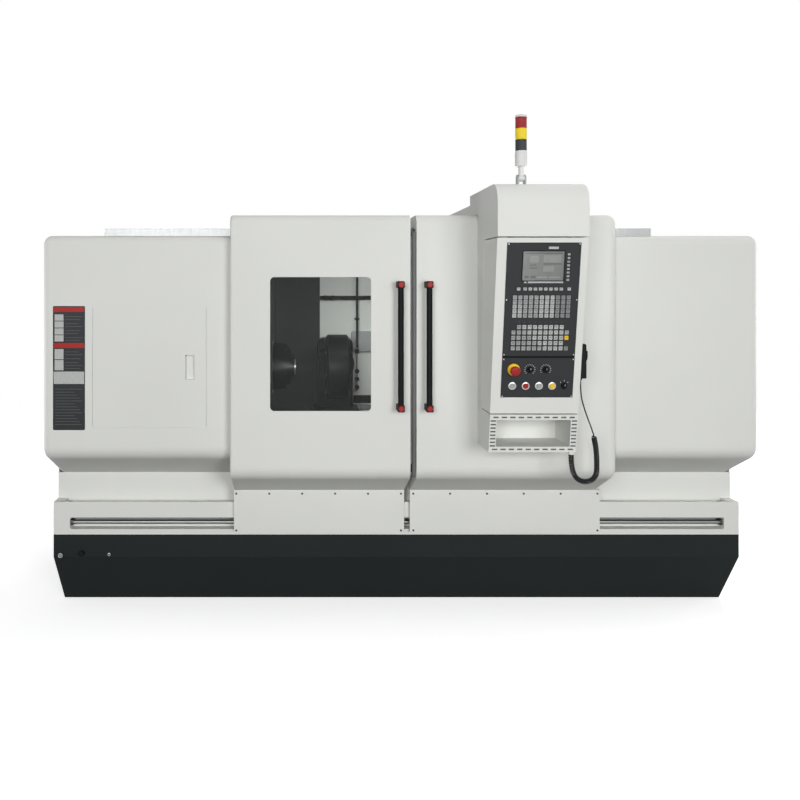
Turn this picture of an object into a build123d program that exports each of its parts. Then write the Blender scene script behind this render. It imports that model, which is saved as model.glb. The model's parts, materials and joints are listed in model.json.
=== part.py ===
from build123d import *
import os
from math import cos, radians, sin, sqrt, tan

# A whirling machine for threads and worms: a long base with a coolant tray, a sheet-metal enclosure
# with two sliding doors, a control column on the right door, and inside it the headstock, the
# whirling carriage and the tailstock on one bed. X runs along the spindle, +Y to the back, +Z up.
# The origin is the centre of the base's footprint on the floor. All lengths are in millimetres.

os.makedirs("parts", exist_ok=True)

# Base, tray and enclosure
machine_length = 3790
floor_depth = 1285
toe_depth = 200
base_fold_height = 306
base_height = 430
tray_height = 180
tray_ledge = 85
tray_rim = 14
tray_end_rim = 58
tray_channel_depth = 16
neck_wall = 4
neck_height = 144
housing_overhang = 275
housing_rise = 151
housing_height = 1167
sheet = 4
housing_top_round = 50
housing_bottom_round = 80
housing_end_round = 42
opening_left_x = -705
opening_right_x = 700
header_height = 112
rear_cover_width = 620
rear_cover_height = 820
rear_cover_raise = 3
rear_cover_lift = 330
rear_cover_pitch = 1180
rear_cover_shares = (-1, 0, 1)
cut_over = 20
slope_run = 200
running_gap = 0.3

# Door rails
slot_left_margin = 90
slot_right_margin = 82
slot_lift = 30
slot_height = 64
slot_round = 8
slot_depth = 55
lower_rail_radius = 11
lower_rail_inset = 27
upper_rail_left_margin = 318
upper_rail_right_margin = 549
upper_rail_inset = 130
upper_rail_width = 25
upper_rail_height = 41
rail_foot_length = 77
rail_foot_width = 48
rail_foot_height = 28
rail_groove_side = 12
rail_groove_head = 3

# Sliding doors
door_clearance = 15
door_thickness = 60
meeting_x = 56
meeting_gap = 32
left_door_width = 935
right_door_width = 1044
door_rise = 103
door_return_depth = 225
door_return_height = 69
door_top_round = 50
door_bottom_round = 80
door_left_round = 14
door_right_round = 45
door_foot_lift = 73
door_foot_reach = 240
door_slope_wall = 45
meeting_strip_width = 24
meeting_strip_thickness = 10
meeting_strip_setback = 8
meeting_strip_margin = 60
skirt_thickness = 20
skirt_lift = 19
shoe_length = 80
shoe_height = 44
shoe_depth = 50
shoe_end_margin = 120

# Window
window_left_x = -687
window_width = 523
window_lift = 474
window_height = 694
window_round = 22
window_skin = 4
window_rebate = 18
window_clearance = 2
window_pane = 8

# Door handles
handle_edge_margin = 57
handle_lift = 479
handle_height = 668
handle_radius = 15
handle_reach = 56
handle_arm = 36
handle_arm_round = 7
handle_cap_radius = 15
handle_cap_height = 6
handle_cap_chamfer = 3

# Access door of the drive compartment
access_left_margin = 270
access_width = 597
access_lift = 155
access_height = 629
access_gap = 3
access_lip = 12
pull_width = 48
pull_height = 127
pull_depth = 18
pull_wall = 2
pull_right_margin = 61
pull_lift = 252

# Control column on the right door
pendant_x = 601.5
pendant_width = 427
pendant_height = 843
pendant_drop = 144
pendant_tilt = 9.2
pendant_reach = 255
pendant_shadow_gap = 5
groove = 6
backbone_foot = 75
backbone_head = 144
column_foot = 193
hood_lead = 6
hood_rise = 115
hood_round = 90
hood_back = 175
duct_rise = 64
duct_length = 800
pocket_side = 34
pocket_lift = 27
pocket_height = 134
pocket_back = 20
shelf_frame_thickness = 3
shelf_hole_width = 26
shelf_hole_height = 8
shelf_hole_margin = 16
shelf_holes_across = 10
shelf_holes_up = 8
cord_gland_radius = 16
cord_gland_height = 15
cord_gland_side = 16
cord_gland_reach = 202.5

# Operator panels on the tilted face, measured from its lower edge
panel_shift = 6
panel_width = 346
panel_thickness = 4
switch_panel_foot = 82
switch_panel_height = 195
operator_panel_foot = 288
operator_panel_height = 543
screen_width = 193
screen_height = 138
screen_centre = 721
screen_thickness = 2
keypad_plate = 1.2
key_height = 3
key_width = 18.5
edit_key_depth = 19.2
edit_pitch_up = 21.8
machine_key_depth = 19.5
machine_pitch_up = 25.9
key_pitch_across = 25.3
key_columns = 11
key_rows = 5
keypad_margin = 5
edit_keys_centre = 528
machine_keys_centre = 377
soft_keys_centre = 612
soft_key_width = 16
soft_key_depth = 14
soft_key_shares = (0.6, 1.8, 2.76, 3.72, 4.68, 5.64, 6.6, 7.56, 8.52, 10)
side_keys_x = 117
side_keys_count = 8
side_keys_pitch = 17.2
side_keys_width = 12
side_keys_height = 9
side_keys_centre = 716

# Switches
estop_x = -116
estop_row = 220
estop_stem_radius = 11
estop_head_radius = 24
estop_head_base = 22
estop_head_height = 18
estop_head_chamfer = 5
knob_row = 220
knob_xs = {"feed_knob": -39, "speed_knob": 37}
button_row = 140
button_xs = {"start_button": -120, "lamp_button": -56, "stop_button": 8, "reset_button": 71}
selector_x = 129
knob_radius = 15
knob_height = 16
knob_grip_width = 9
button_radius = 13
button_stand = 9
button_chamfer = 2
switch_pocket = 16
switch_tail = 8

# Handwheel unit and its cord
handwheel_thickness = 28
handwheel_width = 80
handwheel_height = 165
handwheel_lift = 172
handwheel_inset = 50
handwheel_round = 8
handwheel_gland_radius = 7
handwheel_gland_height = 10
dial_radius = 29
dial_height = 10
dial_knob_radius = 6
dial_knob_height = 9
dial_drop = 56
lead_diameter = 7
curly_diameter = 27
lead_route = [
    (829, -1353.7, 1350),
    (829, -1353.7, 1300),
    (836, -1352, 1254),
    (849, -1350, 1210),
    (866, -1347, 1163),
    (880, -1344, 1130),
    (892, -1341, 1098),
]
curly_route = [
    (892, -1341, 1098),
    (905, -1339, 1046),
    (912.5, -1337, 995),
    (915.5, -1335, 941),
    (915.5, -1333, 891),
    (907.5, -1331, 871.5),
    (892, -1329, 856),
    (872.5, -1327, 848),
    (851, -1325, 848),
    (831, -1322, 856),
    (815.5, -1319, 871.5),
    (806, -1315, 893),
    (799, -1310, 940),
    (799, -1310, 980),
]
route_share = 0.45

# Signal tower
tower_x = 554
tower_inset = 200
tower_radius = 28
tower_plate = 66
tower_plate_thickness = 6
tower_pivot_height = 44
ear_thickness = 7
ear_width = 36
knuckle_width = 28
knuckle_radius = 16
pivot_radius = 6
tower_neck_radius = 13
stem_start = 58
stem_height = 76
module_height = 55
tower_seam = 2
tower_cap_height = 12
tower_cap_chamfer = 5

# Bed and guide rails
axis_setback = 457.5
axis_height = 440
bed_left_overhang = 30
bed_right_margin = 205
bed_width = 560
bed_height = 430
bed_foot_width = 660
trough_width = 240
trough_depth = 130
rail_pitch = 440
rail_width = 35
rail_height = 30
screw_radius = 20
screw_drop = 55
screw_left_x = -560
screw_lug = 40
screw_lug_height = 110
motor_side = 150
motor_length = 160
motor_round = 7

# Headstock, spindle and drive
headstock_left_x = -1150
headstock_right_x = -720
headstock_width = 420
headstock_rise = 220
headstock_round = 40
spindle_radius = 70
spindle_bore = 36
spindle_tail = 150
flange_radius = 100
flange_thickness = 20
spindle_pulley_radius = 140
motor_pulley_radius = 70
pulley_width = 80
pulley_inset = 10
belt_width = 70
belt_thickness = 6
chuck_radius = 147
chuck_length = 76
chuck_step_radius = 120
chuck_step_length = 34
chuck_nose_radius = 74
chuck_nose_length = 24
collet_outer = 46
collet_bore = 30
collet_length = 60
collet_stand = 6
collet_slit = 3
collet_slits = 6
spindle_hole = 162
motor_setback = 490
motor_lift = 190
motor_radius = 105
motor_body_length = 360
motor_foot_width = 200
motor_shaft_radius = 24
motor_shaft_seat = 120

# Whirling carriage
carriage_x = -300
carriage_length = 350
carriage_width = 580
carriage_height = 90
carriage_lift = 8
nut_radius = 42
nut_length = 110
cross_length = 290
cross_width = 400
cross_height = 50
cross_key_width = 70
cross_key_height = 18
column_width = 230
column_thickness = 110
column_rise = 160
column_round = 40
swivel_radius = 118
swivel_length = 42
head_radius = 200
head_width = 140
head_bore = 150
head_chamfer = 12
ring_bore = 82
ring_width = 104
cutter_count = 6
cutter_width = 24
cutter_depth = 26
cutter_tip_width = 9
cutter_tip_radius = 44

# Tailstock
tailstock_margin = 540
tailstock_length = 300
tailstock_width = 520
tailstock_body_width = 260
tailstock_base = 110
tailstock_rise = 115
tailstock_round = 60
quill_radius = 45
quill_stand = 50
quill_inside = 260
centre_radius = 26
centre_length = 60

# Places worked out from the sizes above
half_length = machine_length / 2
rear_y = floor_depth / 2
tray_front_y = -floor_depth / 2 - toe_depth
neck_y = tray_front_y + tray_ledge
housing_front_y = neck_y - housing_overhang
door_front_y = housing_front_y - door_clearance - door_thickness
tray_top = base_height + tray_height
neck_top = tray_top + neck_height
housing_bottom = neck_top + housing_rise
housing_top = housing_bottom + housing_height
header_bottom = housing_top - header_height
rear_cover_bottom = base_height + rear_cover_lift
slope_share = housing_rise / housing_overhang
slot_left_x = slot_left_margin - half_length
slot_right_x = half_length - slot_right_margin
slot_bottom = base_height + slot_lift
slot_top = slot_bottom + slot_height
upper_rail_left_x = upper_rail_left_margin - half_length
upper_rail_right_x = half_length - upper_rail_right_margin
door_top = housing_top + door_rise
door_foot = tray_top + door_foot_lift
skirt_bottom = base_height + skirt_lift
window_bottom = door_foot + window_lift
handle_bottom = door_foot + handle_lift
access_left_x = access_left_margin - half_length
access_bottom = housing_bottom + access_lift
pull_bottom = access_bottom + pull_lift
pendant_top = door_top - pendant_drop
pendant_bottom = pendant_top - pendant_height
column_bottom = pendant_bottom - column_foot
hood_top = door_top + hood_rise
duct_top = door_top + duct_rise
pocket_floor = column_bottom + pocket_lift
pocket_ceiling = pocket_floor + pocket_height
handwheel_bottom = pendant_bottom + handwheel_lift
axis_y = neck_y + axis_setback
bed_top = base_height + bed_height
axis_z = bed_top + axis_height
bed_left_x = headstock_left_x - bed_left_overhang
bed_right_x = half_length - bed_right_margin
headstock_top = axis_z + headstock_rise
motor_y = axis_y + motor_setback
motor_z = base_height + motor_lift
column_top = axis_z + column_rise
tailstock_left_x = bed_right_x - tailstock_margin
tailstock_top = axis_z + tailstock_rise
back_wall_y = axis_y + (carriage_width + tailstock_body_width) / 2 + cut_over + sheet
roof_under = housing_top - sheet


def block(x0, x1, y0, y1, z0, z1):
    """A box between two corners."""
    return Pos((x0 + x1) / 2, (y0 + y1) / 2, (z0 + z1) / 2) * Box(x1 - x0, y1 - y0, z1 - z0)


def rod_x(radius, x0, x1, y, z):
    """A round bar along X."""
    return Pos((x0 + x1) / 2, y, z) * Rot(0, 90, 0) * Cylinder(radius, x1 - x0)


def outline(points, rounds=()):
    """A closed polygon with some of its corners rounded, given as (corner, radius)."""
    face = make_face(Polyline(*points, close=True))
    for corner, radius in rounds:
        spot = Vector(*points[corner])
        face = fillet(face.vertices().sort_by_distance(spot)[0], radius)
    return face


def prism_x(face, x0, x1):
    """A YZ outline pulled along X."""
    return extrude(Plane.YZ.offset(x0) * face, amount=x1 - x0)


def end_edges(shape, x, keep):
    """The edges of the end face at x whose middle passes the test keep(y, z)."""
    found = shape.edges().filter_by_position(Axis.X, x, x)
    return ShapeList(edge for edge in found if keep(edge.center().Y, edge.center().Z))


def save(name, shape):
    """One file for each named piece."""
    export_step(shape, f"parts/{name}.step")


# The base: a black welded plinth with a toe recess along the front
def base():
    points = [
        (-floor_depth / 2, 0),
        (rear_y, 0),
        (rear_y, base_height),
        (tray_front_y, base_height),
        (tray_front_y, base_fold_height),
    ]
    return prism_x(outline(points), -half_length, half_length)


# The coolant tray: a ledge with a guide slot in its front, and the neck wall behind it
def coolant_tray():
    points = [
        (tray_front_y, base_height),
        (tray_front_y, tray_top),
        (neck_y, tray_top),
        (neck_y, neck_top),
        (neck_y + neck_wall, neck_top),
        (neck_y + neck_wall, base_height),
    ]
    tray = prism_x(outline(points), -half_length, half_length)
    slot = block(
        slot_left_x, slot_right_x, tray_front_y - cut_over, tray_front_y + slot_depth, slot_bottom, slot_top
    )
    slot = fillet(slot.edges().filter_by(Axis.Y), slot_round)
    channel = block(
        tray_end_rim - half_length,
        half_length - tray_end_rim,
        tray_front_y + tray_rim,
        neck_y,
        tray_top - tray_channel_depth,
        tray_top + cut_over,
    )
    return tray - slot - channel


lower_rail_y = tray_front_y + lower_rail_inset
lower_rail_z = (slot_bottom + slot_top) / 2


def lower_door_rail():
    return rod_x(lower_rail_radius, slot_left_x, slot_right_x, lower_rail_y, lower_rail_z)


upper_rail_y = door_front_y + upper_rail_inset


def upper_door_rail():
    rail = block(
        upper_rail_left_x,
        upper_rail_right_x,
        upper_rail_y,
        upper_rail_y + upper_rail_width,
        housing_top,
        housing_top + upper_rail_height,
    )
    for start in (upper_rail_left_x, upper_rail_right_x - rail_foot_length):
        rail += block(
            start,
            start + rail_foot_length,
            upper_rail_y,
            upper_rail_y + rail_foot_width,
            housing_top,
            housing_top + rail_foot_height,
        )
    return rail


# The enclosure's form, made once for its outside and once, inset by the sheet, for its inside
def enclosure_form(inset, x0, x1, end):
    """The enclosure as a solid from x0 to x1, with its closed end (-1, 0 or 1) rounded."""
    over = cut_over if inset else 0
    low = x0 + inset if end < 0 else x0 - over
    high = x1 - inset if end > 0 else x1 + over
    slope_inset = inset * sqrt(1 + slope_share**2)
    front = housing_front_y + inset
    top = housing_top - inset
    back = rear_y + over
    inner_y = neck_y + slope_run
    foot = neck_top + slope_inset - slope_run * slope_share
    points = [
        (inner_y, foot),
        (front, housing_bottom + slope_inset - inset * slope_share),
        (front, top),
        (back, top),
        (back, foot),
    ]
    rounds = [(1, housing_bottom_round - inset), (2, housing_top_round - inset)]
    upper = prism_x(outline(points, rounds), low, high)
    if end:
        end_x = low if end < 0 else high
        edges = end_edges(upper, end_x, lambda y, z: y < rear_y and z > foot + sheet / 2)
        upper = fillet(edges, housing_end_round - inset)
    lower = block(low, high, neck_y + neck_wall, back, base_height - over, housing_bottom)
    under = block(
        low - sheet, high + sheet, housing_front_y, neck_y + neck_wall, base_height - over, neck_top
    )
    return upper + lower - under


def housing_shell(x0, x1, end):
    return enclosure_form(0, x0, x1, end) - enclosure_form(sheet, x0, x1, end)


def left_housing():
    shell = housing_shell(-half_length, opening_left_x, -1)
    x0, x1 = access_left_x - access_gap, access_left_x + access_width + access_gap
    z0, z1 = access_bottom - access_gap, access_bottom + access_height + access_gap
    rim = access_lip / 2
    lip = block(
        x0 - rim, x1 + rim, housing_front_y + sheet, housing_front_y + 2 * sheet, z0 - rim, z1 + rim
    )
    hole = block(x0, x1, housing_front_y - cut_over, housing_front_y + sheet, z0, z1)
    inner = block(
        x0 + access_lip,
        x1 - access_lip,
        housing_front_y,
        housing_front_y + cut_over,
        z0 + access_lip,
        z1 - access_lip,
    )
    return shell + lip - hole - inner


def right_housing():
    return housing_shell(opening_right_x, half_length, 1)


def roof_frame():
    shell = housing_shell(opening_left_x, opening_right_x, 0)
    below = block(
        opening_left_x - cut_over,
        opening_right_x + cut_over,
        housing_front_y - cut_over,
        rear_y + cut_over,
        0,
        header_bottom,
    )
    return shell - below


def rear_panel():
    panel = block(
        sheet - half_length, half_length - sheet, rear_y - sheet, rear_y, base_height, roof_under
    )
    panel = fillet(panel.edges().filter_by(Axis.Y).group_by(Axis.Z)[-1], housing_end_round)
    for share in rear_cover_shares:
        middle = share * rear_cover_pitch
        panel += block(
            middle - rear_cover_width / 2,
            middle + rear_cover_width / 2,
            rear_y - sheet,
            rear_y + rear_cover_raise,
            rear_cover_bottom,
            rear_cover_bottom + rear_cover_height,
        )
    return panel


# The splash guard: the chamber's left partition and back wall, welded from sheet
def splash_guard():
    section = enclosure_form(sheet, opening_left_x, opening_left_x + sheet, 0)
    partition = section & block(
        opening_left_x, opening_left_x + sheet, housing_front_y, back_wall_y, base_height, roof_under
    )
    back = block(
        opening_left_x, half_length - sheet, back_wall_y - sheet, back_wall_y, base_height, roof_under
    )
    top_edges = back.edges().filter_by(Axis.Y).group_by(Axis.Z)[-1]
    back = fillet(top_edges.sort_by(Axis.X)[-1], housing_end_round)
    guard = partition + back
    guard -= rod_x(spindle_hole, opening_left_x - sheet, opening_left_x + 2 * sheet, axis_y, axis_z)
    return guard - prism_x(bed_section(), opening_left_x - sheet, opening_left_x + 2 * sheet)


# The bed: one casting with a chip trough between the two guide rails
def bed_section():
    foot, top = bed_foot_width / 2, bed_width / 2
    return outline(
        [
            (axis_y - foot, base_height),
            (axis_y + foot, base_height),
            (axis_y + top, bed_top),
            (axis_y - top, bed_top),
        ]
    )


screw_z = bed_top - screw_drop


def bed():
    casting = prism_x(bed_section(), bed_left_x, bed_right_x)
    trough = block(
        screw_left_x - screw_lug,
        bed_right_x + cut_over,
        axis_y - trough_width / 2,
        axis_y + trough_width / 2,
        bed_top - trough_depth,
        bed_top + cut_over,
    )
    casting -= trough
    for start in (screw_left_x - screw_lug, bed_right_x - screw_lug):
        lug = block(
            start,
            start + screw_lug,
            axis_y - trough_width / 2,
            axis_y + trough_width / 2,
            bed_top - trough_depth,
            bed_top - trough_depth + screw_lug_height,
        )
        casting += lug
    bore = rod_x(
        screw_radius + running_gap, screw_left_x - screw_lug, bed_right_x + cut_over, axis_y, screw_z
    )
    return casting - bore


def bed_guide_rails():
    rails = [
        block(
            opening_left_x + screw_lug,
            bed_right_x,
            axis_y + side * rail_pitch / 2 - rail_width / 2,
            axis_y + side * rail_pitch / 2 + rail_width / 2,
            bed_top,
            bed_top + rail_height,
        )
        for side in (-1, 1)
    ]
    return Compound(children=rails)


def ball_screw():
    return rod_x(screw_radius, screw_left_x - screw_lug, bed_right_x, axis_y, screw_z)


def carriage_motor():
    body = block(
        bed_right_x,
        bed_right_x + motor_length,
        axis_y - motor_side / 2,
        axis_y + motor_side / 2,
        screw_z - motor_side / 2,
        screw_z + motor_side / 2,
    )
    return fillet(body.edges().filter_by(Axis.X), motor_round)


# Headstock, spindle, chuck and belt drive
def headstock():
    casting = block(
        headstock_left_x,
        headstock_right_x,
        axis_y - headstock_width / 2,
        axis_y + headstock_width / 2,
        bed_top,
        headstock_top,
    )
    casting = fillet(casting.edges().filter_by(Axis.X).group_by(Axis.Z)[-1], headstock_round)
    bore = rod_x(
        spindle_radius + running_gap,
        headstock_left_x - cut_over,
        headstock_right_x + cut_over,
        axis_y,
        axis_z,
    )
    return casting - bore


spindle_left_x = headstock_left_x - spindle_tail
flange_left_x = headstock_right_x + running_gap
chuck_left_x = flange_left_x + flange_thickness
pulley_left_x = spindle_left_x + pulley_inset


def spindle():
    shaft = rod_x(spindle_radius, spindle_left_x, chuck_left_x, axis_y, axis_z)
    shaft += rod_x(flange_radius, flange_left_x, chuck_left_x, axis_y, axis_z)
    shaft += rod_x(spindle_pulley_radius, pulley_left_x, pulley_left_x + pulley_width, axis_y, axis_z)
    return shaft - rod_x(
        spindle_bore, spindle_left_x - cut_over, chuck_left_x + cut_over, axis_y, axis_z
    )


chuck_face_x = chuck_left_x + chuck_length + chuck_step_length + chuck_nose_length


def chuck_body():
    body = rod_x(chuck_radius, chuck_left_x, chuck_left_x + chuck_length, axis_y, axis_z)
    step_x = chuck_left_x + chuck_length
    body += rod_x(chuck_step_radius, step_x, step_x + chuck_step_length, axis_y, axis_z)
    body += rod_x(chuck_nose_radius, step_x + chuck_step_length, chuck_face_x, axis_y, axis_z)
    return body - rod_x(
        collet_outer + running_gap, chuck_left_x - cut_over, chuck_face_x + cut_over, axis_y, axis_z
    )


def collet():
    start = chuck_face_x + collet_stand - collet_length
    end = chuck_face_x + collet_stand
    sleeve = rod_x(collet_outer, start, end, axis_y, axis_z)
    sleeve -= rod_x(collet_bore, start - cut_over, end + cut_over, axis_y, axis_z)
    for turn in range(collet_slits):
        slit = block(
            start + collet_length / 2,
            end + cut_over,
            -collet_slit / 2,
            collet_slit / 2,
            0,
            collet_outer + cut_over,
        )
        sleeve -= Pos(0, axis_y, axis_z) * Rot(360 * turn / collet_slits, 0, 0) * slit
    return sleeve


def spindle_motor():
    right_x = headstock_left_x + motor_body_length
    body = rod_x(motor_radius, headstock_left_x, right_x, motor_y, motor_z)
    body += block(
        headstock_left_x,
        right_x,
        motor_y - motor_foot_width / 2,
        motor_y + motor_foot_width / 2,
        base_height,
        motor_z - motor_radius / 2,
    )
    return body - rod_x(
        motor_shaft_radius + running_gap,
        headstock_left_x - cut_over,
        headstock_left_x + motor_shaft_seat + running_gap,
        motor_y,
        motor_z,
    )


def motor_pulley():
    pulley = rod_x(motor_pulley_radius, pulley_left_x, pulley_left_x + pulley_width, motor_y, motor_z)
    return pulley + rod_x(
        motor_shaft_radius, spindle_left_x, headstock_left_x + motor_shaft_seat, motor_y, motor_z
    )


def belt_loop(offset):
    big = Pos(axis_y, axis_z) * Circle(spindle_pulley_radius + offset)
    small = Pos(motor_y, motor_z) * Circle(motor_pulley_radius + offset)
    return make_hull(big.edges() + small.edges())


def drive_belt():
    start = pulley_left_x + (pulley_width - belt_width) / 2
    outer = prism_x(belt_loop(running_gap + belt_thickness), start, start + belt_width)
    inner = prism_x(belt_loop(running_gap), start - cut_over, start + belt_width + cut_over)
    return outer - inner


# The whirling carriage: saddle, cross slide, swivelling head and its ring of cutters
saddle_bottom = bed_top + carriage_lift
saddle_top = saddle_bottom + carriage_height


def saddle(x0, x1, width, z1):
    """A plate that straddles both guide rails."""
    plate = block(x0, x1, axis_y - width / 2, axis_y + width / 2, saddle_bottom, z1)
    for side in (-1, 1):
        middle = axis_y + side * rail_pitch / 2
        plate -= block(
            x0 - cut_over,
            x1 + cut_over,
            middle - rail_width / 2 - running_gap,
            middle + rail_width / 2 + running_gap,
            bed_top,
            bed_top + rail_height + running_gap,
        )
    return plate


def carriage():
    x0, x1 = carriage_x - carriage_length / 2, carriage_x + carriage_length / 2
    plate = saddle(x0, x1, carriage_width, saddle_top)
    nut = rod_x(nut_radius, carriage_x - nut_length / 2, carriage_x + nut_length / 2, axis_y, screw_z)
    nut += block(
        carriage_x - nut_length / 2,
        carriage_x + nut_length / 2,
        axis_y - nut_radius,
        axis_y + nut_radius,
        screw_z,
        saddle_bottom,
    )
    key = block(
        carriage_x - cross_key_width / 2,
        carriage_x + cross_key_width / 2,
        axis_y - carriage_width / 2,
        axis_y + carriage_width / 2,
        saddle_top,
        saddle_top + cross_key_height,
    )
    bore = rod_x(screw_radius + running_gap, x0, x1, axis_y, screw_z)
    return plate + nut + key - bore


cross_bottom = saddle_top + running_gap
cross_top = cross_bottom + cross_height
column_front_y = axis_y + head_radius + swivel_length


def cross_slide():
    slide = block(
        carriage_x - cross_length / 2,
        carriage_x + cross_length / 2,
        axis_y - cross_width / 2,
        column_front_y + column_thickness,
        cross_bottom,
        cross_top,
    )
    post = block(
        carriage_x - column_width / 2,
        carriage_x + column_width / 2,
        column_front_y,
        column_front_y + column_thickness,
        cross_top,
        column_top,
    )
    post = fillet(post.edges().filter_by(Axis.Y).group_by(Axis.Z)[-1], column_round)
    keyway = block(
        carriage_x - cross_key_width / 2 - running_gap,
        carriage_x + cross_key_width / 2 + running_gap,
        axis_y - carriage_width,
        axis_y + carriage_width,
        cross_bottom - cut_over,
        saddle_top + cross_key_height + running_gap,
    )
    return slide + post - keyway


def whirl_head():
    x0, x1 = carriage_x - head_width / 2, carriage_x + head_width / 2
    ring = rod_x(head_radius, x0, x1, axis_y, axis_z)
    ring = chamfer(ring.edges().filter_by(GeomType.CIRCLE), head_chamfer)
    swivel = extrude(
        Plane((carriage_x, axis_y, axis_z), x_dir=(1, 0, 0), z_dir=(0, 1, 0)) * Circle(swivel_radius),
        amount=head_radius + swivel_length - running_gap,
    )
    swivel &= block(
        x0 - swivel_radius, x1 + swivel_radius, axis_y + head_bore, rear_y, 0, housing_top
    )
    return ring + swivel - rod_x(
        head_bore, x0 - swivel_radius, x1 + swivel_radius, axis_y, axis_z
    )


def whirl_ring():
    x0, x1 = carriage_x - ring_width / 2, carriage_x + ring_width / 2
    ring = rod_x(head_bore - running_gap, x0, x1, axis_y, axis_z)
    ring -= rod_x(ring_bore, x0 - cut_over, x1 + cut_over, axis_y, axis_z)
    seat_radius = ring_bore + cutter_depth / 2
    section = outline(
        [
            (-cutter_tip_width / 2, cutter_tip_radius),
            (cutter_tip_width / 2, cutter_tip_radius),
            (cutter_depth / 2, seat_radius),
            (-cutter_depth / 2, seat_radius),
        ]
    )
    cutter = prism_x(section, carriage_x - cutter_width / 2, carriage_x + cutter_width / 2)
    for turn in range(cutter_count):
        ring += Pos(0, axis_y, axis_z) * Rot(360 * turn / cutter_count, 0, 0) * cutter
    return ring


# The tailstock with its quill
def tailstock():
    x0, x1 = tailstock_left_x, tailstock_left_x + tailstock_length
    foot = saddle(x0, x1, tailstock_width, saddle_bottom + tailstock_base)
    body = block(
        x0,
        x1,
        axis_y - tailstock_body_width / 2,
        axis_y + tailstock_body_width / 2,
        saddle_bottom + tailstock_base,
        tailstock_top,
    )
    body = fillet(body.edges().filter_by(Axis.X).group_by(Axis.Z)[-1], tailstock_round)
    bore = rod_x(quill_radius + running_gap, x0 - cut_over, x0 + quill_inside, axis_y, axis_z)
    return foot + body - bore


def quill():
    start = tailstock_left_x - quill_stand
    barrel = rod_x(quill_radius, start, tailstock_left_x + quill_inside - running_gap, axis_y, axis_z)
    tip = Rot(0, -90, 0) * Cone(centre_radius, 0, centre_length)
    return barrel + Pos(start - centre_length / 2, axis_y, axis_z) * tip


# Sliding doors: double-skinned panels with a roller box on top and a sloping foot
def door_blank(x0, x1, end, end_round):
    """A door from x0 to x1, with the outer edges of its far end (-1 or 1) rounded."""
    front = door_front_y
    return_back = front + door_return_depth
    return_foot = door_top - door_return_height
    skin_back = front + door_thickness
    foot_back = front + door_foot_reach + skirt_thickness
    corner = door_foot + door_foot_reach * slope_share
    inside = corner + door_slope_wall
    deep = foot_back + slope_run
    low = corner - (deep - front) * slope_share
    skin = [(front, door_top), (deep, door_top), (deep, low), (front, corner)]
    form = prism_x(outline(skin, [(0, door_top_round), (3, door_bottom_round)]), x0, x1)
    edges = end_edges(form, x0 if end < 0 else x1, lambda y, z: y < deep)
    form = fillet(edges, end_round)
    kept = [
        (front - cut_over, door_top + cut_over),
        (return_back, door_top + cut_over),
        (return_back, return_foot),
        (skin_back, return_foot),
        (skin_back, inside - door_thickness * slope_share),
        (foot_back, inside - (foot_back - front) * slope_share),
        (foot_back, door_foot),
        (front - cut_over, door_foot),
    ]
    form &= prism_x(outline(kept), x0, x1)
    return form - block(
        x0 - cut_over,
        x1 + cut_over,
        upper_rail_y - rail_groove_side,
        upper_rail_y + upper_rail_width + rail_groove_side,
        return_foot - cut_over,
        housing_top + upper_rail_height + rail_groove_head,
    )


left_door_right_x = meeting_x - meeting_gap / 2
left_door_left_x = left_door_right_x - left_door_width
right_door_left_x = meeting_x + meeting_gap / 2
right_door_right_x = right_door_left_x + right_door_width
window_middle = (window_left_x + window_width / 2, window_bottom + window_height / 2)


def window_prism(grow, y0, y1):
    """The window's rounded rectangle, grown on every side, from y0 to y1."""
    face = RectangleRounded(window_width + 2 * grow, window_height + 2 * grow, window_round + grow)
    return extrude(
        Plane((window_middle[0], y0, window_middle[1]), x_dir=(1, 0, 0), z_dir=(0, -1, 0)) * face,
        amount=y0 - y1,
    )


def left_door():
    door = door_blank(left_door_left_x, left_door_right_x, -1, door_left_round)
    door -= window_prism(0, door_front_y - cut_over, door_front_y + door_thickness + cut_over)
    door -= window_prism(
        window_rebate, door_front_y + window_skin, door_front_y + door_thickness + cut_over
    )
    strip_y = door_front_y + door_thickness - meeting_strip_setback - meeting_strip_thickness
    strip = block(
        left_door_right_x,
        left_door_right_x + meeting_strip_width,
        strip_y,
        strip_y + meeting_strip_thickness,
        door_foot + door_foot_reach * slope_share + meeting_strip_margin,
        door_top - door_return_height - meeting_strip_margin,
    )
    return door + strip


def left_door_window():
    start = door_front_y + window_skin
    return window_prism(window_rebate - window_clearance, start, start + window_pane)


def right_door():
    return door_blank(right_door_left_x, right_door_right_x, 1, door_right_round)


def door_skirt(x0, x1):
    """The lower door panel, with two guide shoes that run on the lower rail."""
    front = door_front_y + door_foot_reach
    back = front + skirt_thickness
    skirt = block(x0, x1, front, back, skirt_bottom, door_foot)
    for middle in (x0 + shoe_end_margin, x1 - shoe_end_margin):
        skirt += block(
            middle - shoe_length / 2,
            middle + shoe_length / 2,
            back,
            back + shoe_depth,
            lower_rail_z - shoe_height / 2,
            lower_rail_z + shoe_height / 2,
        )
    return skirt - rod_x(
        lower_rail_radius + running_gap, x0 - cut_over, x1 + cut_over, lower_rail_y, lower_rail_z
    )


def door_handle(x):
    """A round pull bar with an arm at each end."""
    bar_y = door_front_y - handle_reach
    bar = Pos(x, bar_y, handle_bottom + handle_height / 2) * Cylinder(
        handle_radius, handle_height - handle_arm
    )
    for base_z in (handle_bottom, handle_bottom + handle_height - handle_arm):
        arm = block(
            x - handle_arm / 2,
            x + handle_arm / 2,
            bar_y - handle_arm / 2,
            door_front_y,
            base_z,
            base_z + handle_arm,
        )
        bar += fillet(arm.edges().filter_by(Axis.Y), handle_arm_round)
    return bar


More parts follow.
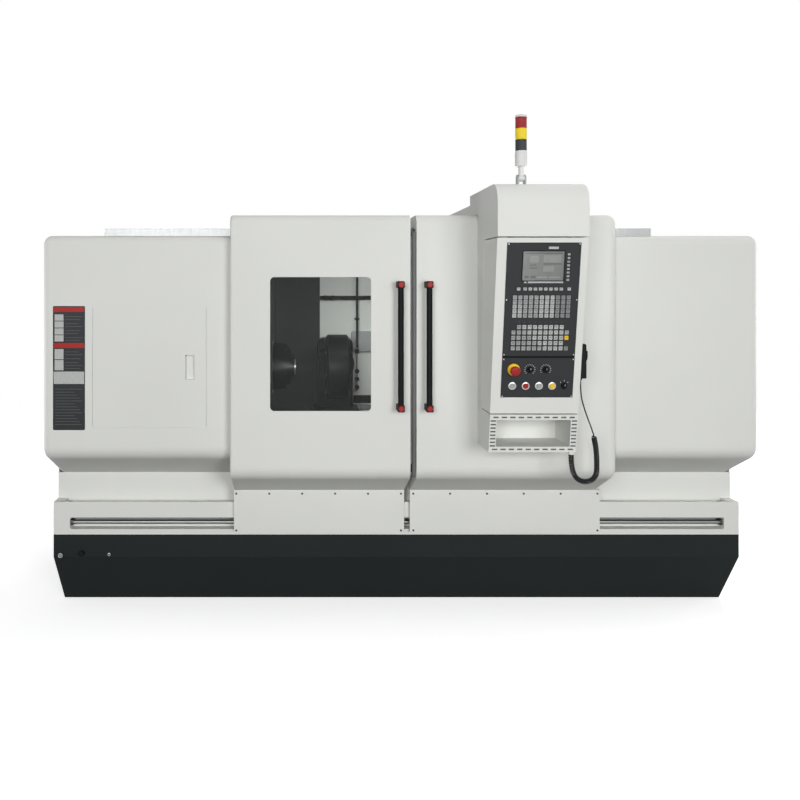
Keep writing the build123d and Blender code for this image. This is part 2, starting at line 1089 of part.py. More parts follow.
def handle_caps(x):
    """The coloured plugs on the front of a handle's arms."""
    face_y = door_front_y - handle_reach - handle_arm / 2
    caps = []
    for middle_z in (handle_bottom + handle_arm / 2, handle_bottom + handle_height - handle_arm / 2):
        cap = extrude(
            Plane((x, face_y, middle_z), x_dir=(1, 0, 0), z_dir=(0, -1, 0)) * Circle(handle_cap_radius),
            amount=handle_cap_height,
        )
        front = cap.edges().filter_by(GeomType.CIRCLE).sort_by(Axis.Y)[0]
        caps.append(chamfer(front, handle_cap_chamfer))
    return Compound(children=caps)


# The access door, flush in the left housing's front, with a recessed pull
def access_door():
    x1 = access_left_x + access_width
    z1 = access_bottom + access_height
    back_y = housing_front_y + sheet
    panel = block(access_left_x, x1, housing_front_y, back_y, access_bottom, z1)
    pull_x1 = x1 - pull_right_margin
    pull_x0 = pull_x1 - pull_width
    cup = block(
        pull_x0 - pull_wall,
        pull_x1 + pull_wall,
        back_y,
        back_y + pull_depth,
        pull_bottom - pull_wall,
        pull_bottom + pull_height + pull_wall,
    )
    hollow = block(
        pull_x0,
        pull_x1,
        housing_front_y - cut_over,
        back_y + pull_depth - pull_wall,
        pull_bottom,
        pull_bottom + pull_height,
    )
    return panel + cup - hollow


# The control column: hood, backbone and document shelf in one welded box on the right door
pendant_left_x = pendant_x - pendant_width / 2
pendant_right_x = pendant_x + pendant_width / 2
tilt_share = tan(radians(pendant_tilt))
face_bottom_y = door_front_y - pendant_reach
hood_bottom = pendant_top + pendant_shadow_gap
shelf_top = pendant_bottom - pendant_shadow_gap


def face_y(z):
    """The tilted front face at height z."""
    return face_bottom_y - (z - pendant_bottom) * tilt_share


def backbone_y(z):
    """The front of the column's backbone, which the pendant case is bolted to."""
    share = (z - shelf_top) / (hood_bottom - shelf_top)
    return door_front_y - backbone_foot - (backbone_head - backbone_foot) * share


def pendant_column():
    points = [
        (door_front_y, column_bottom),
        (face_y(column_bottom), column_bottom),
        (face_y(shelf_top), shelf_top),
        (backbone_y(shelf_top), shelf_top),
        (backbone_y(hood_bottom), hood_bottom),
        (face_y(hood_bottom) - hood_lead, hood_bottom),
        (face_y(hood_bottom) - hood_lead, hood_top),
        (door_front_y + hood_back, hood_top),
        (door_front_y + hood_back, duct_top),
        (door_front_y + duct_length, duct_top),
        (door_front_y + duct_length, door_top),
        (door_front_y, door_top),
    ]
    column = prism_x(outline(points, [(6, hood_round)]), pendant_left_x, pendant_right_x)
    pocket = block(
        pendant_left_x + pocket_side,
        pendant_right_x - pocket_side,
        face_y(shelf_top) - cut_over,
        door_front_y - pocket_back,
        pocket_floor,
        pocket_ceiling,
    )
    gland = Cylinder(cord_gland_radius, cord_gland_height)
    gland_x = pendant_right_x - cord_gland_side
    gland_y = door_front_y - cord_gland_reach
    return column - pocket + Pos(gland_x, gland_y, column_bottom - cord_gland_height / 2) * gland


def pendant_case():
    """The tilted operator box, with a shadow groove round its back and holes for the switches."""
    front = [
        (face_y(pendant_bottom), pendant_bottom),
        (face_y(pendant_top), pendant_top),
        (backbone_y(pendant_top) - groove, pendant_top),
        (backbone_y(pendant_bottom) - groove, pendant_bottom),
    ]
    back = front[:2] + [
        (backbone_y(pendant_top), pendant_top),
        (backbone_y(pendant_bottom), pendant_bottom),
    ]
    case = prism_x(outline(front), pendant_left_x, pendant_right_x)
    case += prism_x(outline(back), pendant_left_x + groove, pendant_right_x - groove)
    return case - switch_holes(switch_pocket)


face_plane = Plane(
    (pendant_x + panel_shift, face_bottom_y, pendant_bottom),
    x_dir=(1, 0, 0),
    z_dir=(0, -cos(radians(pendant_tilt)), -sin(radians(pendant_tilt))),
)


def on_face(across, up, out=0):
    """A place on the tilted face, measured across from the panels' middle, up from its foot and outwards."""
    return face_plane.location * Pos(across, up, out)


def slab_on_face(across, up, width, height, out, thickness):
    """A plate parallel to the tilted face, from out outwards."""
    return on_face(across, up, out + thickness / 2) * Box(width, height, thickness)


def post_on_face(across, up, radius, out0, out1):
    """A round bar square to the tilted face."""
    return on_face(across, up, (out0 + out1) / 2) * Cylinder(radius, out1 - out0)


def switch_holes(depth):
    """Holes for the push buttons and the stop switch, from the panel's front to depth behind the face."""
    top = panel_thickness + cut_over
    holes = post_on_face(estop_x, estop_row, estop_stem_radius + running_gap, -depth, top)
    for across in button_xs.values():
        holes += post_on_face(across, button_row, button_radius + running_gap, -depth, top)
    return holes


def switch_panel():
    middle = switch_panel_foot + switch_panel_height / 2
    plate = slab_on_face(0, middle, panel_width, switch_panel_height, 0, panel_thickness)
    return plate - switch_holes(switch_pocket)


def operator_panel():
    middle = operator_panel_foot + operator_panel_height / 2
    plate = slab_on_face(0, middle, panel_width, operator_panel_height, 0, panel_thickness)
    recess = slab_on_face(
        0, screen_centre, screen_width, screen_height, panel_thickness - screen_thickness, cut_over
    )
    return plate - recess


def display_screen():
    return slab_on_face(
        0,
        screen_centre,
        screen_width,
        screen_height,
        panel_thickness - screen_thickness,
        screen_thickness,
    )


def key_grid(centre, pitch):
    """Rows of key places, from the bottom row up, each with one place for every column."""
    return [
        [
            ((column - (key_columns - 1) / 2) * key_pitch_across, centre + (row - (key_rows - 1) / 2) * pitch)
            for column in range(key_columns)
        ]
        for row in range(key_rows)
    ]


def key_block(spots, width, depth):
    """A keypad sheet with a raised cap at each spot, as one moulded mat."""
    xs = [across for across, up in spots]
    ups = [up for across, up in spots]
    mat = slab_on_face(
        (min(xs) + max(xs)) / 2,
        (min(ups) + max(ups)) / 2,
        max(xs) - min(xs) + width + 2 * keypad_margin,
        max(ups) - min(ups) + depth + 2 * keypad_margin,
        panel_thickness,
        keypad_plate,
    )
    caps = [
        slab_on_face(across, up, width, depth, panel_thickness, keypad_plate + key_height)
        for across, up in spots
    ]
    return mat + caps


def keypad():
    edit_rows = key_grid(edit_keys_centre, edit_pitch_up)
    machine_rows = key_grid(machine_keys_centre, machine_pitch_up)
    machine_rows[-1] = machine_rows[-1][1:-1]
    machine_rows[1] = machine_rows[1][:-1]
    first_x = -(key_columns - 1) / 2 * key_pitch_across
    soft_spots = [(first_x + share * key_pitch_across, soft_keys_centre) for share in soft_key_shares]
    side_spots = [
        (side_keys_x, side_keys_centre + (key - (side_keys_count - 1) / 2) * side_keys_pitch)
        for key in range(side_keys_count)
    ]
    blocks = [
        key_block(sum(edit_rows, []), key_width, edit_key_depth),
        key_block(sum(machine_rows, []), key_width, machine_key_depth),
        key_block(soft_spots, soft_key_width, soft_key_depth),
        key_block(side_spots, side_keys_width, side_keys_height),
    ]
    return Compound(children=blocks)


def shelf_frame():
    """The perforated frame round the mouth of the document shelf."""
    height = (shelf_top - column_bottom) / cos(radians(pendant_tilt))
    middle = -(pendant_bottom - (shelf_top + column_bottom) / 2) / cos(radians(pendant_tilt))
    frame = slab_on_face(-panel_shift, middle, pendant_width, height, 0, shelf_frame_thickness)
    mouth = block(
        pendant_left_x + pocket_side,
        pendant_right_x - pocket_side,
        face_y(pendant_top),
        door_front_y,
        pocket_floor,
        pocket_ceiling,
    )
    frame -= mouth
    half_across = pendant_width / 2 - shelf_hole_margin - shelf_hole_width / 2
    half_up = height / 2 - shelf_hole_margin + shelf_hole_height / 4
    side_across = (pendant_width - pocket_side) / 2
    holes = []
    for column in range(shelf_holes_across):
        across = half_across * (2 * column / (shelf_holes_across - 1) - 1)
        for side in (-1, 1):
            holes.append((across, middle + side * half_up))
    for row in range(shelf_holes_up):
        up = half_up * (2 * (row + 1) / (shelf_holes_up + 1) - 1)
        for side in (-1, 1):
            holes.append((side * side_across, middle + up))
    cutters = [
        on_face(across - panel_shift, up, 0)
        * Box(shelf_hole_width, shelf_hole_height, 2 * shelf_frame_thickness + cut_over)
        for across, up in holes
    ]
    return frame - cutters


# Switches on the lower panel
panel_front = panel_thickness


def estop_button():
    head_top = panel_front + estop_head_base + estop_head_height
    head = post_on_face(estop_x, estop_row, estop_head_radius, panel_front + estop_head_base, head_top)
    rim = head.edges().filter_by(GeomType.CIRCLE).sort_by(Axis.Y)[0]
    head = chamfer(rim, estop_head_chamfer)
    return head + post_on_face(
        estop_x, estop_row, estop_stem_radius, -switch_tail, panel_front + estop_head_base
    )


def push_button(across):
    button = post_on_face(across, button_row, button_radius, -switch_tail, panel_front + button_stand)
    rim = button.edges().filter_by(GeomType.CIRCLE).sort_by(Axis.Y)[0]
    return chamfer(rim, button_chamfer)


def rotary_knob(across, up):
    """A round knob with a grip bar across it."""
    base_out = panel_front + running_gap
    knob = post_on_face(across, up, knob_radius, base_out, base_out + knob_height / 2)
    grip = slab_on_face(
        across, up, knob_grip_width, 2 * knob_radius - knob_grip_width / 2, base_out, knob_height
    )
    return knob + grip


# The handwheel unit on the column's side, with its lead and curly cord
handwheel_y = face_y(handwheel_bottom + handwheel_height / 2) + handwheel_inset
handwheel_out_x = pendant_right_x + handwheel_thickness


def handwheel_unit():
    body = block(
        pendant_right_x,
        handwheel_out_x,
        handwheel_y - handwheel_width / 2,
        handwheel_y + handwheel_width / 2,
        handwheel_bottom,
        handwheel_bottom + handwheel_height,
    )
    body = fillet(body.edges().filter_by(Axis.X), handwheel_round)
    gland = Cylinder(handwheel_gland_radius, handwheel_gland_height)
    gland_x = pendant_right_x + handwheel_thickness / 2
    return body + Pos(gland_x, handwheel_y, handwheel_bottom - handwheel_gland_height / 2) * gland


def handwheel_dial():
    dial_z = handwheel_bottom + handwheel_height - dial_drop
    start = handwheel_out_x + running_gap
    dial = rod_x(dial_radius, start, start + dial_height, handwheel_y, dial_z)
    return dial + rod_x(
        dial_knob_radius,
        start + dial_height,
        start + dial_height + dial_knob_height,
        handwheel_y,
        dial_z + dial_radius / 2,
    )


def cord_tube(route, diameter):
    """A tube along straight runs joined by the largest arcs that the runs allow."""
    points = [Vector(*point) for point in route]
    radii = []
    for before, here, after in zip(points, points[1:], points[2:]):
        turn = (here - before).get_angle(after - here)
        shorter = min((here - before).length, (after - here).length)
        radii.append(route_share * shorter / tan(radians(turn / 2)))
    print("cord radii", [round(radius) for radius in radii])
    path = FilletPolyline(*points, radius=radii)
    start = Plane(points[0], z_dir=points[1] - points[0])
    return sweep(start * Circle(diameter / 2), path=path)


# The signal tower on the hood, folding back on its foot bracket
tower_y = door_front_y - tower_inset
pivot_z = hood_top + tower_pivot_height


def tower_bracket():
    foot = block(
        tower_x - tower_plate / 2,
        tower_x + tower_plate / 2,
        tower_y - tower_plate / 2,
        tower_y + tower_plate / 2,
        hood_top,
        hood_top + tower_plate_thickness,
    )
    ear_gap = knuckle_width / 2 + running_gap
    for side in (-1, 1):
        inner = tower_x + side * ear_gap
        outer = inner + side * ear_thickness
        low, high = min(inner, outer), max(inner, outer)
        foot += block(
            low, high, tower_y - ear_width / 2, tower_y + ear_width / 2, hood_top, pivot_z
        )
        foot += rod_x(ear_width / 2, low, high, tower_y, pivot_z)
    return foot + rod_x(pivot_radius, tower_x - ear_gap, tower_x + ear_gap, tower_y, pivot_z)


stem_z = pivot_z + stem_start


def tower_stem():
    knuckle = rod_x(
        knuckle_radius, tower_x - knuckle_width / 2, tower_x + knuckle_width / 2, tower_y, pivot_z
    )
    neck = Pos(tower_x, tower_y, (pivot_z + stem_z) / 2) * Cylinder(tower_neck_radius, stem_start)
    body = Pos(tower_x, tower_y, stem_z + stem_height / 2) * Cylinder(tower_radius, stem_height)
    bore = rod_x(
        pivot_radius + running_gap, tower_x - knuckle_width, tower_x + knuckle_width, tower_y, pivot_z
    )
    return knuckle + neck + body - bore


def tower_module(place, capped=False):
    """One lamp module, counted up from the stem; the top one carries the cap."""
    base_z = stem_z + stem_height + place * module_height
    lamp = Pos(tower_x, tower_y, base_z + tower_seam / 2) * Cylinder(tower_radius - tower_seam, tower_seam)
    top = base_z + module_height
    lamp += Pos(tower_x, tower_y, (base_z + tower_seam + top) / 2) * Cylinder(
        tower_radius, module_height - tower_seam
    )
    if capped:
        cap = Pos(tower_x, tower_y, top + tower_cap_height / 2) * Cylinder(tower_radius, tower_cap_height)
        lamp += chamfer(cap.edges().filter_by(GeomType.CIRCLE).sort_by(Axis.Z)[-1], tower_cap_chamfer)
    return lamp


left_handle_x = left_door_right_x - handle_edge_margin
right_handle_x = right_door_left_x + handle_edge_margin

pieces = {
    "base": base(),
    "coolant_tray": coolant_tray(),
    "lower_door_rail": lower_door_rail(),
    "upper_door_rail": upper_door_rail(),
    "left_housing": left_housing(),
    "right_housing": right_housing(),
    "roof_frame": roof_frame(),
    "rear_panel": rear_panel(),
    "splash_guard": splash_guard(),
    "bed": bed(),
    "bed_guide_rails": bed_guide_rails(),
    "headstock": headstock(),
    "spindle_motor": spindle_motor(),
    "drive_belt": drive_belt(),
    "carriage_motor": carriage_motor(),
    "spindle": spindle(),
    "chuck_body": chuck_body(),
    "collet": collet(),
    "motor_pulley": motor_pulley(),
    "ball_screw": ball_screw(),
    "carriage": carriage(),
    "cross_slide": cross_slide(),
    "whirl_head": whirl_head(),
    "whirl_ring": whirl_ring(),
    "tailstock": tailstock(),
    "quill": quill(),
    "left_door": left_door(),
    "left_door_window": left_door_window(),
    "left_skirt": door_skirt(left_door_left_x, left_door_right_x),
    "left_handle": door_handle(left_handle_x),
    "left_handle_caps": handle_caps(left_handle_x),
    "right_door": right_door(),
    "right_skirt": door_skirt(right_door_left_x, right_door_right_x),
    "right_handle": door_handle(right_handle_x),
    "right_handle_caps": handle_caps(right_handle_x),
    "access_door": access_door(),
    "pendant_column": pendant_column(),
    "pendant_case": pendant_case(),
    "shelf_frame": shelf_frame(),
    "switch_panel": switch_panel(),
    "operator_panel": operator_panel(),
    "display_screen": display_screen(),
    "keypad": keypad(),
    "estop_button": estop_button(),
    "mode_switch": rotary_knob(selector_x, button_row),
    "handwheel_unit": handwheel_unit(),
    "handwheel_dial": handwheel_dial(),
    "handwheel_lead": cord_tube(lead_route, lead_diameter),
    "handwheel_curly_cord": cord_tube(curly_route, curly_diameter),
    "tower_bracket": tower_bracket(),
    "tower_stem": tower_stem(),
    "tower_dark_module": tower_module(0),
    "tower_yellow_module": tower_module(1),
    "tower_red_module": tower_module(2, capped=True),
}
for name, across in knob_xs.items():
    pieces[name] = rotary_knob(across, knob_row)
for name, across in button_xs.items():
    pieces[name] = push_button(across)

for name, shape in pieces.items():
    save(name, shape)
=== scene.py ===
# %% [markdown]
# # Dressing a thread whirling machine
# The machine comes into Blender as a fixed frame: every sheet, casting and switch is already at its
# real size, in metres, with +X along the spindle, +Y to the back and +Z up. This lesson adds what a
# workshop would add after assembly: paint, screws, seals, key caps, lamps and the curly cord.

# %% Load the frame
import json
import math

import bmesh
import bpy
from mathutils import Matrix, Vector


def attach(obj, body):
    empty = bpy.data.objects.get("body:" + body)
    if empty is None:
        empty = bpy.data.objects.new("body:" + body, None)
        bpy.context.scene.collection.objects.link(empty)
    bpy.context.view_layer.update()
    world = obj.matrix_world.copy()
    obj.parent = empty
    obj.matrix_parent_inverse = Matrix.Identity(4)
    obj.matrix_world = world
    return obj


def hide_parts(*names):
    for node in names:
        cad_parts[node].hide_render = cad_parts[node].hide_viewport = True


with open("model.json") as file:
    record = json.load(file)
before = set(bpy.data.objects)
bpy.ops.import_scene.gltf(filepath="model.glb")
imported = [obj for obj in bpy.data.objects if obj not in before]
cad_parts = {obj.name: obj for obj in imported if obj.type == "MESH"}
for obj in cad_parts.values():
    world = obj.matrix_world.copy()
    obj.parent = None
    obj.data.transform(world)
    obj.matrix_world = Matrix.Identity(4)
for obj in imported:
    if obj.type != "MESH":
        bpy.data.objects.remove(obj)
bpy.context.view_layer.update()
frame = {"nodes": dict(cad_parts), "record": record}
nodes = frame["nodes"]
scene = bpy.context.scene

# %% [markdown]
# ## Camera
# The machine was photographed square to its front, and the picture was cropped afterwards, so uprights
# stay upright and the vanishing point is left of and above the middle. A turned camera would tilt the
# uprights. A straight camera with a shifted frame keeps them true, as a shift lens does.

# %% Camera at the photograph's place
picture_side = 800
focal_pixels = 753
vanishing_pixel = (300, 285)
camera_place = (-0.532, -5.0075, 1.81)
looking_level = (math.radians(90), 0, 0)

camera_data = bpy.data.cameras.new("photo_camera")
camera_data.lens = camera_data.sensor_width * focal_pixels / picture_side
camera_data.shift_x = (picture_side / 2 - vanishing_pixel[0]) / picture_side
camera_data.shift_y = (vanishing_pixel[1] - picture_side / 2) / picture_side
camera_data.clip_end = 200
camera = bpy.data.objects.new("photo_camera", camera_data)
camera.location = camera_place
camera.rotation_euler = looking_level
scene.collection.objects.link(camera)
scene.camera = camera
scene.view_settings.view_transform = "Standard"
print("lens", round(camera_data.lens, 2), "mm")

# %% [markdown]
# ## Finishes
# Almost everything here is painted or moulded, and such surfaces differ in three ways: a slow drift of
# tone over a metre, a fine orange peel that breaks up reflections, and a gloss that wanders a little.
# One shader group makes all three, and each finish places it with its own colours and grain. Machined
# steel has lines where the tool or the grinding belt passed, so it gets a second group.

# %% Helpers for shader nodes
socket_kinds = {1: "NodeSocketFloat", 3: "NodeSocketVector", 4: "NodeSocketColor"}
surface_outputs = {"Colour": 4, "Roughness": 1, "Normal": 3}


def add_node(tree, kind, modes=None, **values):
    """A shader node with its modes, and with values in the sockets that the words name."""
    made = tree.nodes.new("ShaderNode" + kind)
    for mode, choice in (modes or {}).items():
        setattr(made, mode, choice)
    for word, value in values.items():
        made.inputs[word.replace("_", " ").title()].default_value = value
    return made


def wire(tree, *links):
    """Links sockets: each link is a node, its output, the next node and its input."""
    for source, output, target, into in links:
        tree.links.new(source.outputs[output], target.inputs[into])


def surface_group(name, inputs):
    """An empty shader group, which puts out the three things that every surface needs."""
    group = bpy.data.node_groups.new(name, "ShaderNodeTree")
    for label, value in inputs.items():
        kind = socket_kinds[len(value) if isinstance(value, tuple) else 1]
        made = group.interface.new_socket(label, in_out="INPUT", socket_type=kind)
        made.default_value = value
    for label, length in surface_outputs.items():
        group.interface.new_socket(label, in_out="OUTPUT", socket_type=socket_kinds[length])
    return group, group.nodes.new("NodeGroupInput"), group.nodes.new("NodeGroupOutput")


def grain_outputs(group, start, end, tone_by, grain, gloss, bump):
    """Grain moves the tone between two colours and the gloss between two limits, and raises bumps."""
    tone = add_node(group, "Mix", {"data_type": "RGBA"})
    wire(
        group,
        (*tone_by, tone, "Factor"),
        (start, "Colour", tone, "A"),
        (start, "Shade", tone, "B"),
        (tone, "Result", end, "Colour"),
        (grain, "Fac", gloss, "Value"),
        (start, "Smoothest", gloss, "To Min"),
        (start, "Roughest", gloss, "To Max"),
        (gloss, "Result", end, "Roughness"),
        (grain, "Fac", bump, "Height"),
        (bump, "Normal", end, "Normal"),
    )
    print(group.name, "group", len(group.nodes), "nodes")


# %% The coat: paint, film and moulded plastic
coat_inputs = {
    "Colour": (0.8, 0.8, 0.8, 1),
    "Shade": (0.7, 0.7, 0.7, 1),
    "Drift scale": 1.5,
    "Peel scale": 400,
    "Peel height": 0.05,
    "Smoothest": 0.3,
    "Roughest": 0.45,
}
coat, coat_in, coat_out = surface_group("coat", coat_inputs)
place = add_node(coat, "TexCoord")
drift = add_node(coat, "TexNoise", detail=3)
peel = add_node(coat, "TexNoise", detail=2)
spread = add_node(coat, "MapRange", from_min=0.3, from_max=0.7)
bump = add_node(coat, "Bump", distance=0.0004)
wire(
    coat,
    (place, "Object", drift, "Vector"),
    (place, "Object", peel, "Vector"),
    (coat_in, "Drift scale", drift, "Scale"),
    (coat_in, "Peel scale", peel, "Scale"),
    (drift, "Fac", spread, "Value"),
    (coat_in, "Peel height", bump, "Strength"),
)
grain_outputs(coat, coat_in, coat_out, (spread, "Result"), peel, add_node(coat, "MapRange"), bump)

# %% The machined surface: fine lines across the feed
machined_inputs = {
    "Colour": (0.6, 0.6, 0.6, 1),
    "Shade": (0.5, 0.5, 0.5, 1),
    "Line stretch": (900, 20, 20),
    "Smoothest": 0.22,
    "Roughest": 0.42,
}
machined, cut_in, cut_out = surface_group("machined", machined_inputs)
place = add_node(machined, "TexCoord")
stretch = add_node(machined, "VectorMath", {"operation": "MULTIPLY"})
lines = add_node(machined, "TexNoise", scale=1, detail=4)
gloss = add_node(machined, "MapRange", from_min=0.3, from_max=0.7)
bump = add_node(machined, "Bump", distance=0.0002, strength=0.12)
wire(
    machined,
    (place, "Object", stretch, 0),
    (cut_in, "Line stretch", stretch, 1),
    (stretch, "Vector", lines, "Vector"),
)
grain_outputs(machined, cut_in, cut_out, (lines, "Fac"), lines, gloss, bump)

# %% Finishes built from the groups
finishes = {}


def shader_of(material):
    return material.node_tree.nodes["Principled BSDF"]


def finish(name, colour, shade, group=coat, matt=None, **values):
    """A material: one surface group feeding a Principled shader, whose specular level matt lowers."""
    made = bpy.data.materials.new(name)
    made.use_nodes = True
    shader = shader_of(made)
    surface = made.node_tree.nodes.new("ShaderNodeGroup")
    surface.node_tree = group
    values.update(colour=(*colour, 1), shade=(*shade, 1))
    for word, value in values.items():
        surface.inputs[word.replace("_", " ").capitalize()].default_value = value
    wire(
        made.node_tree,
        (surface, "Colour", shader, "Base Color"),
        (surface, "Roughness", shader, "Roughness"),
        (surface, "Normal", shader, "Normal"),
    )
    if matt is not None:
        shader.inputs["Specular IOR Level"].default_value = matt
    finishes[name] = made
    return made


def metal(name, colour, shade, **values):
    made = finish(name, colour, shade, group=machined, **values)
    shader_of(made).inputs["Metallic"].default_value = 1
    return made


white_paint = finish(
    "white_paint", (0.715, 0.722, 0.690), (0.685, 0.692, 0.660), matt=0.2,
    peel_height=0.06, smoothest=0.45, roughest=0.6
)
finish(
    "black_paint", (0.0190, 0.0235, 0.0235), (0.0225, 0.0270, 0.0270), matt=0.03,
    peel_scale=700, peel_height=0.12, smoothest=0.52, roughest=0.66
)
finish(
    "cast_paint", (0.17, 0.18, 0.18), (0.13, 0.14, 0.14),
    drift_scale=6, peel_scale=160, peel_height=0.25
)
panel_film = finish(
    "panel_film", (0.0205, 0.023, 0.0245), (0.025, 0.0275, 0.029), matt=0.15,
    peel_scale=1500, peel_height=0.15, smoothest=0.45, roughest=0.6
)
black_plastic = finish(
    "black_plastic", (0.0065, 0.0078, 0.0078), (0.0095, 0.0108, 0.0108), matt=0.06,
    peel_scale=900, peel_height=0.2, smoothest=0.36, roughest=0.52
)
rubber = finish(
    "rubber", (0.010, 0.011, 0.011), (0.016, 0.016, 0.016), matt=0.2,
    drift_scale=30, smoothest=0.45, roughest=0.65
)
red_plastic = finish("red_plastic", (0.34, 0.024, 0.024), (0.29, 0.019, 0.019), matt=0.15, drift_scale=20)
yellow_plastic = finish("yellow_plastic", (0.86, 0.55, 0.02), (0.80, 0.50, 0.02), matt=0.25, drift_scale=20)
grey_plastic = finish("grey_plastic", (0.34, 0.35, 0.34), (0.29, 0.30, 0.29), drift_scale=20)
pale_plastic = finish("pale_plastic", (0.66, 0.67, 0.65), (0.61, 0.62, 0.60), drift_scale=20)
whirl_black = finish(
    "whirl_black", (0.0042, 0.0046, 0.0046), (0.007, 0.0075, 0.0075), matt=0.12,
    drift_scale=8, peel_scale=300, peel_height=0.1
)
steel = metal("steel", (0.60, 0.61, 0.61), (0.48, 0.49, 0.49))
dark_steel = metal(
    "dark_steel", (0.055, 0.057, 0.058), (0.034, 0.035, 0.036), line_stretch=(900, 3, 3),
    smoothest=0.16, roughest=0.28
)
rail_steel = metal("rail_steel", (0.20, 0.205, 0.205), (0.15, 0.155, 0.155), smoothest=0.3, roughest=0.45)
dull_steel = metal("dull_steel", (0.28, 0.285, 0.28), (0.21, 0.215, 0.21), smoothest=0.35, roughest=0.5)
screw_steel = metal("screw_steel", (0.085, 0.087, 0.088), (0.06, 0.062, 0.062), smoothest=0.3, roughest=0.45)
print("finishes", len(finishes))

# %% [markdown]
# ## Window pane
# The pane is clear sheet with a faint grey-green body. A thin pane bends light so little that straight
# transmission with a low roughness is enough. Lamp light passes the pane straight, as it does through
# thin sheet, so rays that only ask for shadow meet a clear shader.

# %% Pane
pane_glass = finish("pane_glass", (0.89, 0.915, 0.905), (0.87, 0.895, 0.885), peel_height=0.01)
pane_tree = pane_glass.node_tree
pane_shader = shader_of(pane_glass)
for socket in ("Roughness", "Normal"):
    for grain_link in list(pane_shader.inputs[socket].links):
        pane_tree.links.remove(grain_link)
pane_shader.inputs["Transmission Weight"].default_value = 1
pane_shader.inputs["IOR"].default_value = 1.25
pane_shader.inputs["Roughness"].default_value = 0.02
clear = add_node(pane_tree, "BsdfTransparent", color=(0.90, 0.92, 0.91, 1))
pane_ray = add_node(pane_tree, "LightPath")
pane_mix = add_node(pane_tree, "MixShader")
wire(
    pane_tree,
    (pane_ray, "Is Shadow Ray", pane_mix, "Fac"),
    (pane_shader, "BSDF", pane_mix, 1),
    (clear, "BSDF", pane_mix, 2),
    (pane_mix, "Shader", pane_tree.nodes["Material Output"], "Surface"),
)
print("pane IOR", pane_shader.inputs["IOR"].default_value)

# %% [markdown]
# ## Painting the frame
# The record names a slot for every node. Most slots have a finish of the same name and a table gives
# the others, so one loop paints the whole frame. The whirling head, its slide and the door rails then
# get finishes of their own.

# %% Slots to finishes
other_slots = {
    "panel_black": panel_film,
    "key_grey": pale_plastic,
    "screen": grey_plastic,
    "window": pane_glass,
}


def paint(node, material):
    """Gives a frame node a finish."""
    mesh = nodes[node].data
    if not mesh.materials:
        mesh.materials.append(material)
    mesh.materials[0] = material


for subpart in frame["record"]["subparts"]:
    slot = subpart["material_slot"]
    paint(subpart["node"], other_slots.get(slot) or finishes[slot])
for node in ("whirl_head", "cross_slide"):
    paint(node, whirl_black)
for node in ("lower_door_rail", "upper_door_rail"):
    paint(node, rail_steel)

# %% [markdown]
# ## Handwheel cord
# The handheld unit on the column's side hangs on one cord: a thin straight lead that turns into a curly
# cord, droops below the document shelf and comes up into a gland. The straight part follows its route.
# The curls are a helix, and they wind round points read back from a smooth curve along the droop.

# %% Route of the cord
lead_thickness = 0.0065
curl_width = 0.027
curl_pitch = 0.0074
steps_per_turn = 14
open_pitch = 0.045
ease_steps = 5 * steps_per_turn // 4
lead_route = [
    (0.829, -1.3537, 1.350),
    (0.829, -1.3537, 1.300),
    (0.836, -1.352, 1.254),
    (0.849, -1.350, 1.210),
    (0.866, -1.347, 1.163),
    (0.880, -1.344, 1.130),
    (0.892, -1.341, 1.098),
]
curl_route = [
    (0.892, -1.341, 1.098),
    (0.905, -1.339, 1.046),
    (0.9125, -1.337, 0.995),
    (0.9155, -1.335, 0.941),
    (0.9155, -1.333, 0.891),
    (0.9075, -1.331, 0.8715),
    (0.892, -1.329, 0.856),
    (0.8725, -1.327, 0.848),
    (0.851, -1.325, 0.848),
    (0.831, -1.322, 0.856),
    (0.8155, -1.319, 0.8715),
    (0.806, -1.315, 0.893),
    (0.799, -1.310, 0.940),
    (0.799, -1.310, 0.980),
]
print("cord route", len(lead_route) + len(curl_route) - 1, "points")

# %% Helpers that follow a route and wind round it


def cord_curve(name, route, resolution):
    """An open curve with one smooth spline through the route's control points."""
    data = bpy.data.curves.new(name, "CURVE")
    data.dimensions = "3D"
    spline = data.splines.new("NURBS")
    spline.points.add(len(route) - 1)
    for point, spot in zip(spline.points, route):
        point.co = (*spot, 1)
    spline.order_u = 3
    spline.use_endpoint_u = True
    spline.resolution_u = resolution
    made = bpy.data.objects.new(name, data)
    scene.collection.objects.link(made)
    return made


def points_on(route, name):
    """Points along a route, read from its smooth curve."""
    guide = cord_curve(name, route, resolution=24)
    bpy.context.view_layer.update()
    mesh = bpy.data.meshes.new_from_object(guide)
    found = [vertex.co.copy() for vertex in mesh.vertices]
    bpy.data.objects.remove(guide)
    bpy.data.meshes.remove(mesh)
    return found


def along(points):
    """Lengths from the first point to each point."""
    lengths = [0.0]
    for before, here in zip(points, points[1:]):
        lengths.append(lengths[-1] + (here - before).length)
    return lengths


def at_length(points, lengths, wanted):
    """The place and direction at a length along a line of points."""
    index = 1
    while index < len(points) - 1 and lengths[index] < wanted:
        index += 1
    span = points[index] - points[index - 1]
    share = (wanted - lengths[index - 1]) / (lengths[index] - lengths[index - 1])
    return points[index - 1] + span * share, span.normalized()


def eased(share):
    """A smooth rise from 0 to 1."""
    share = min(1, share)
    return share * share * (3 - 2 * share)


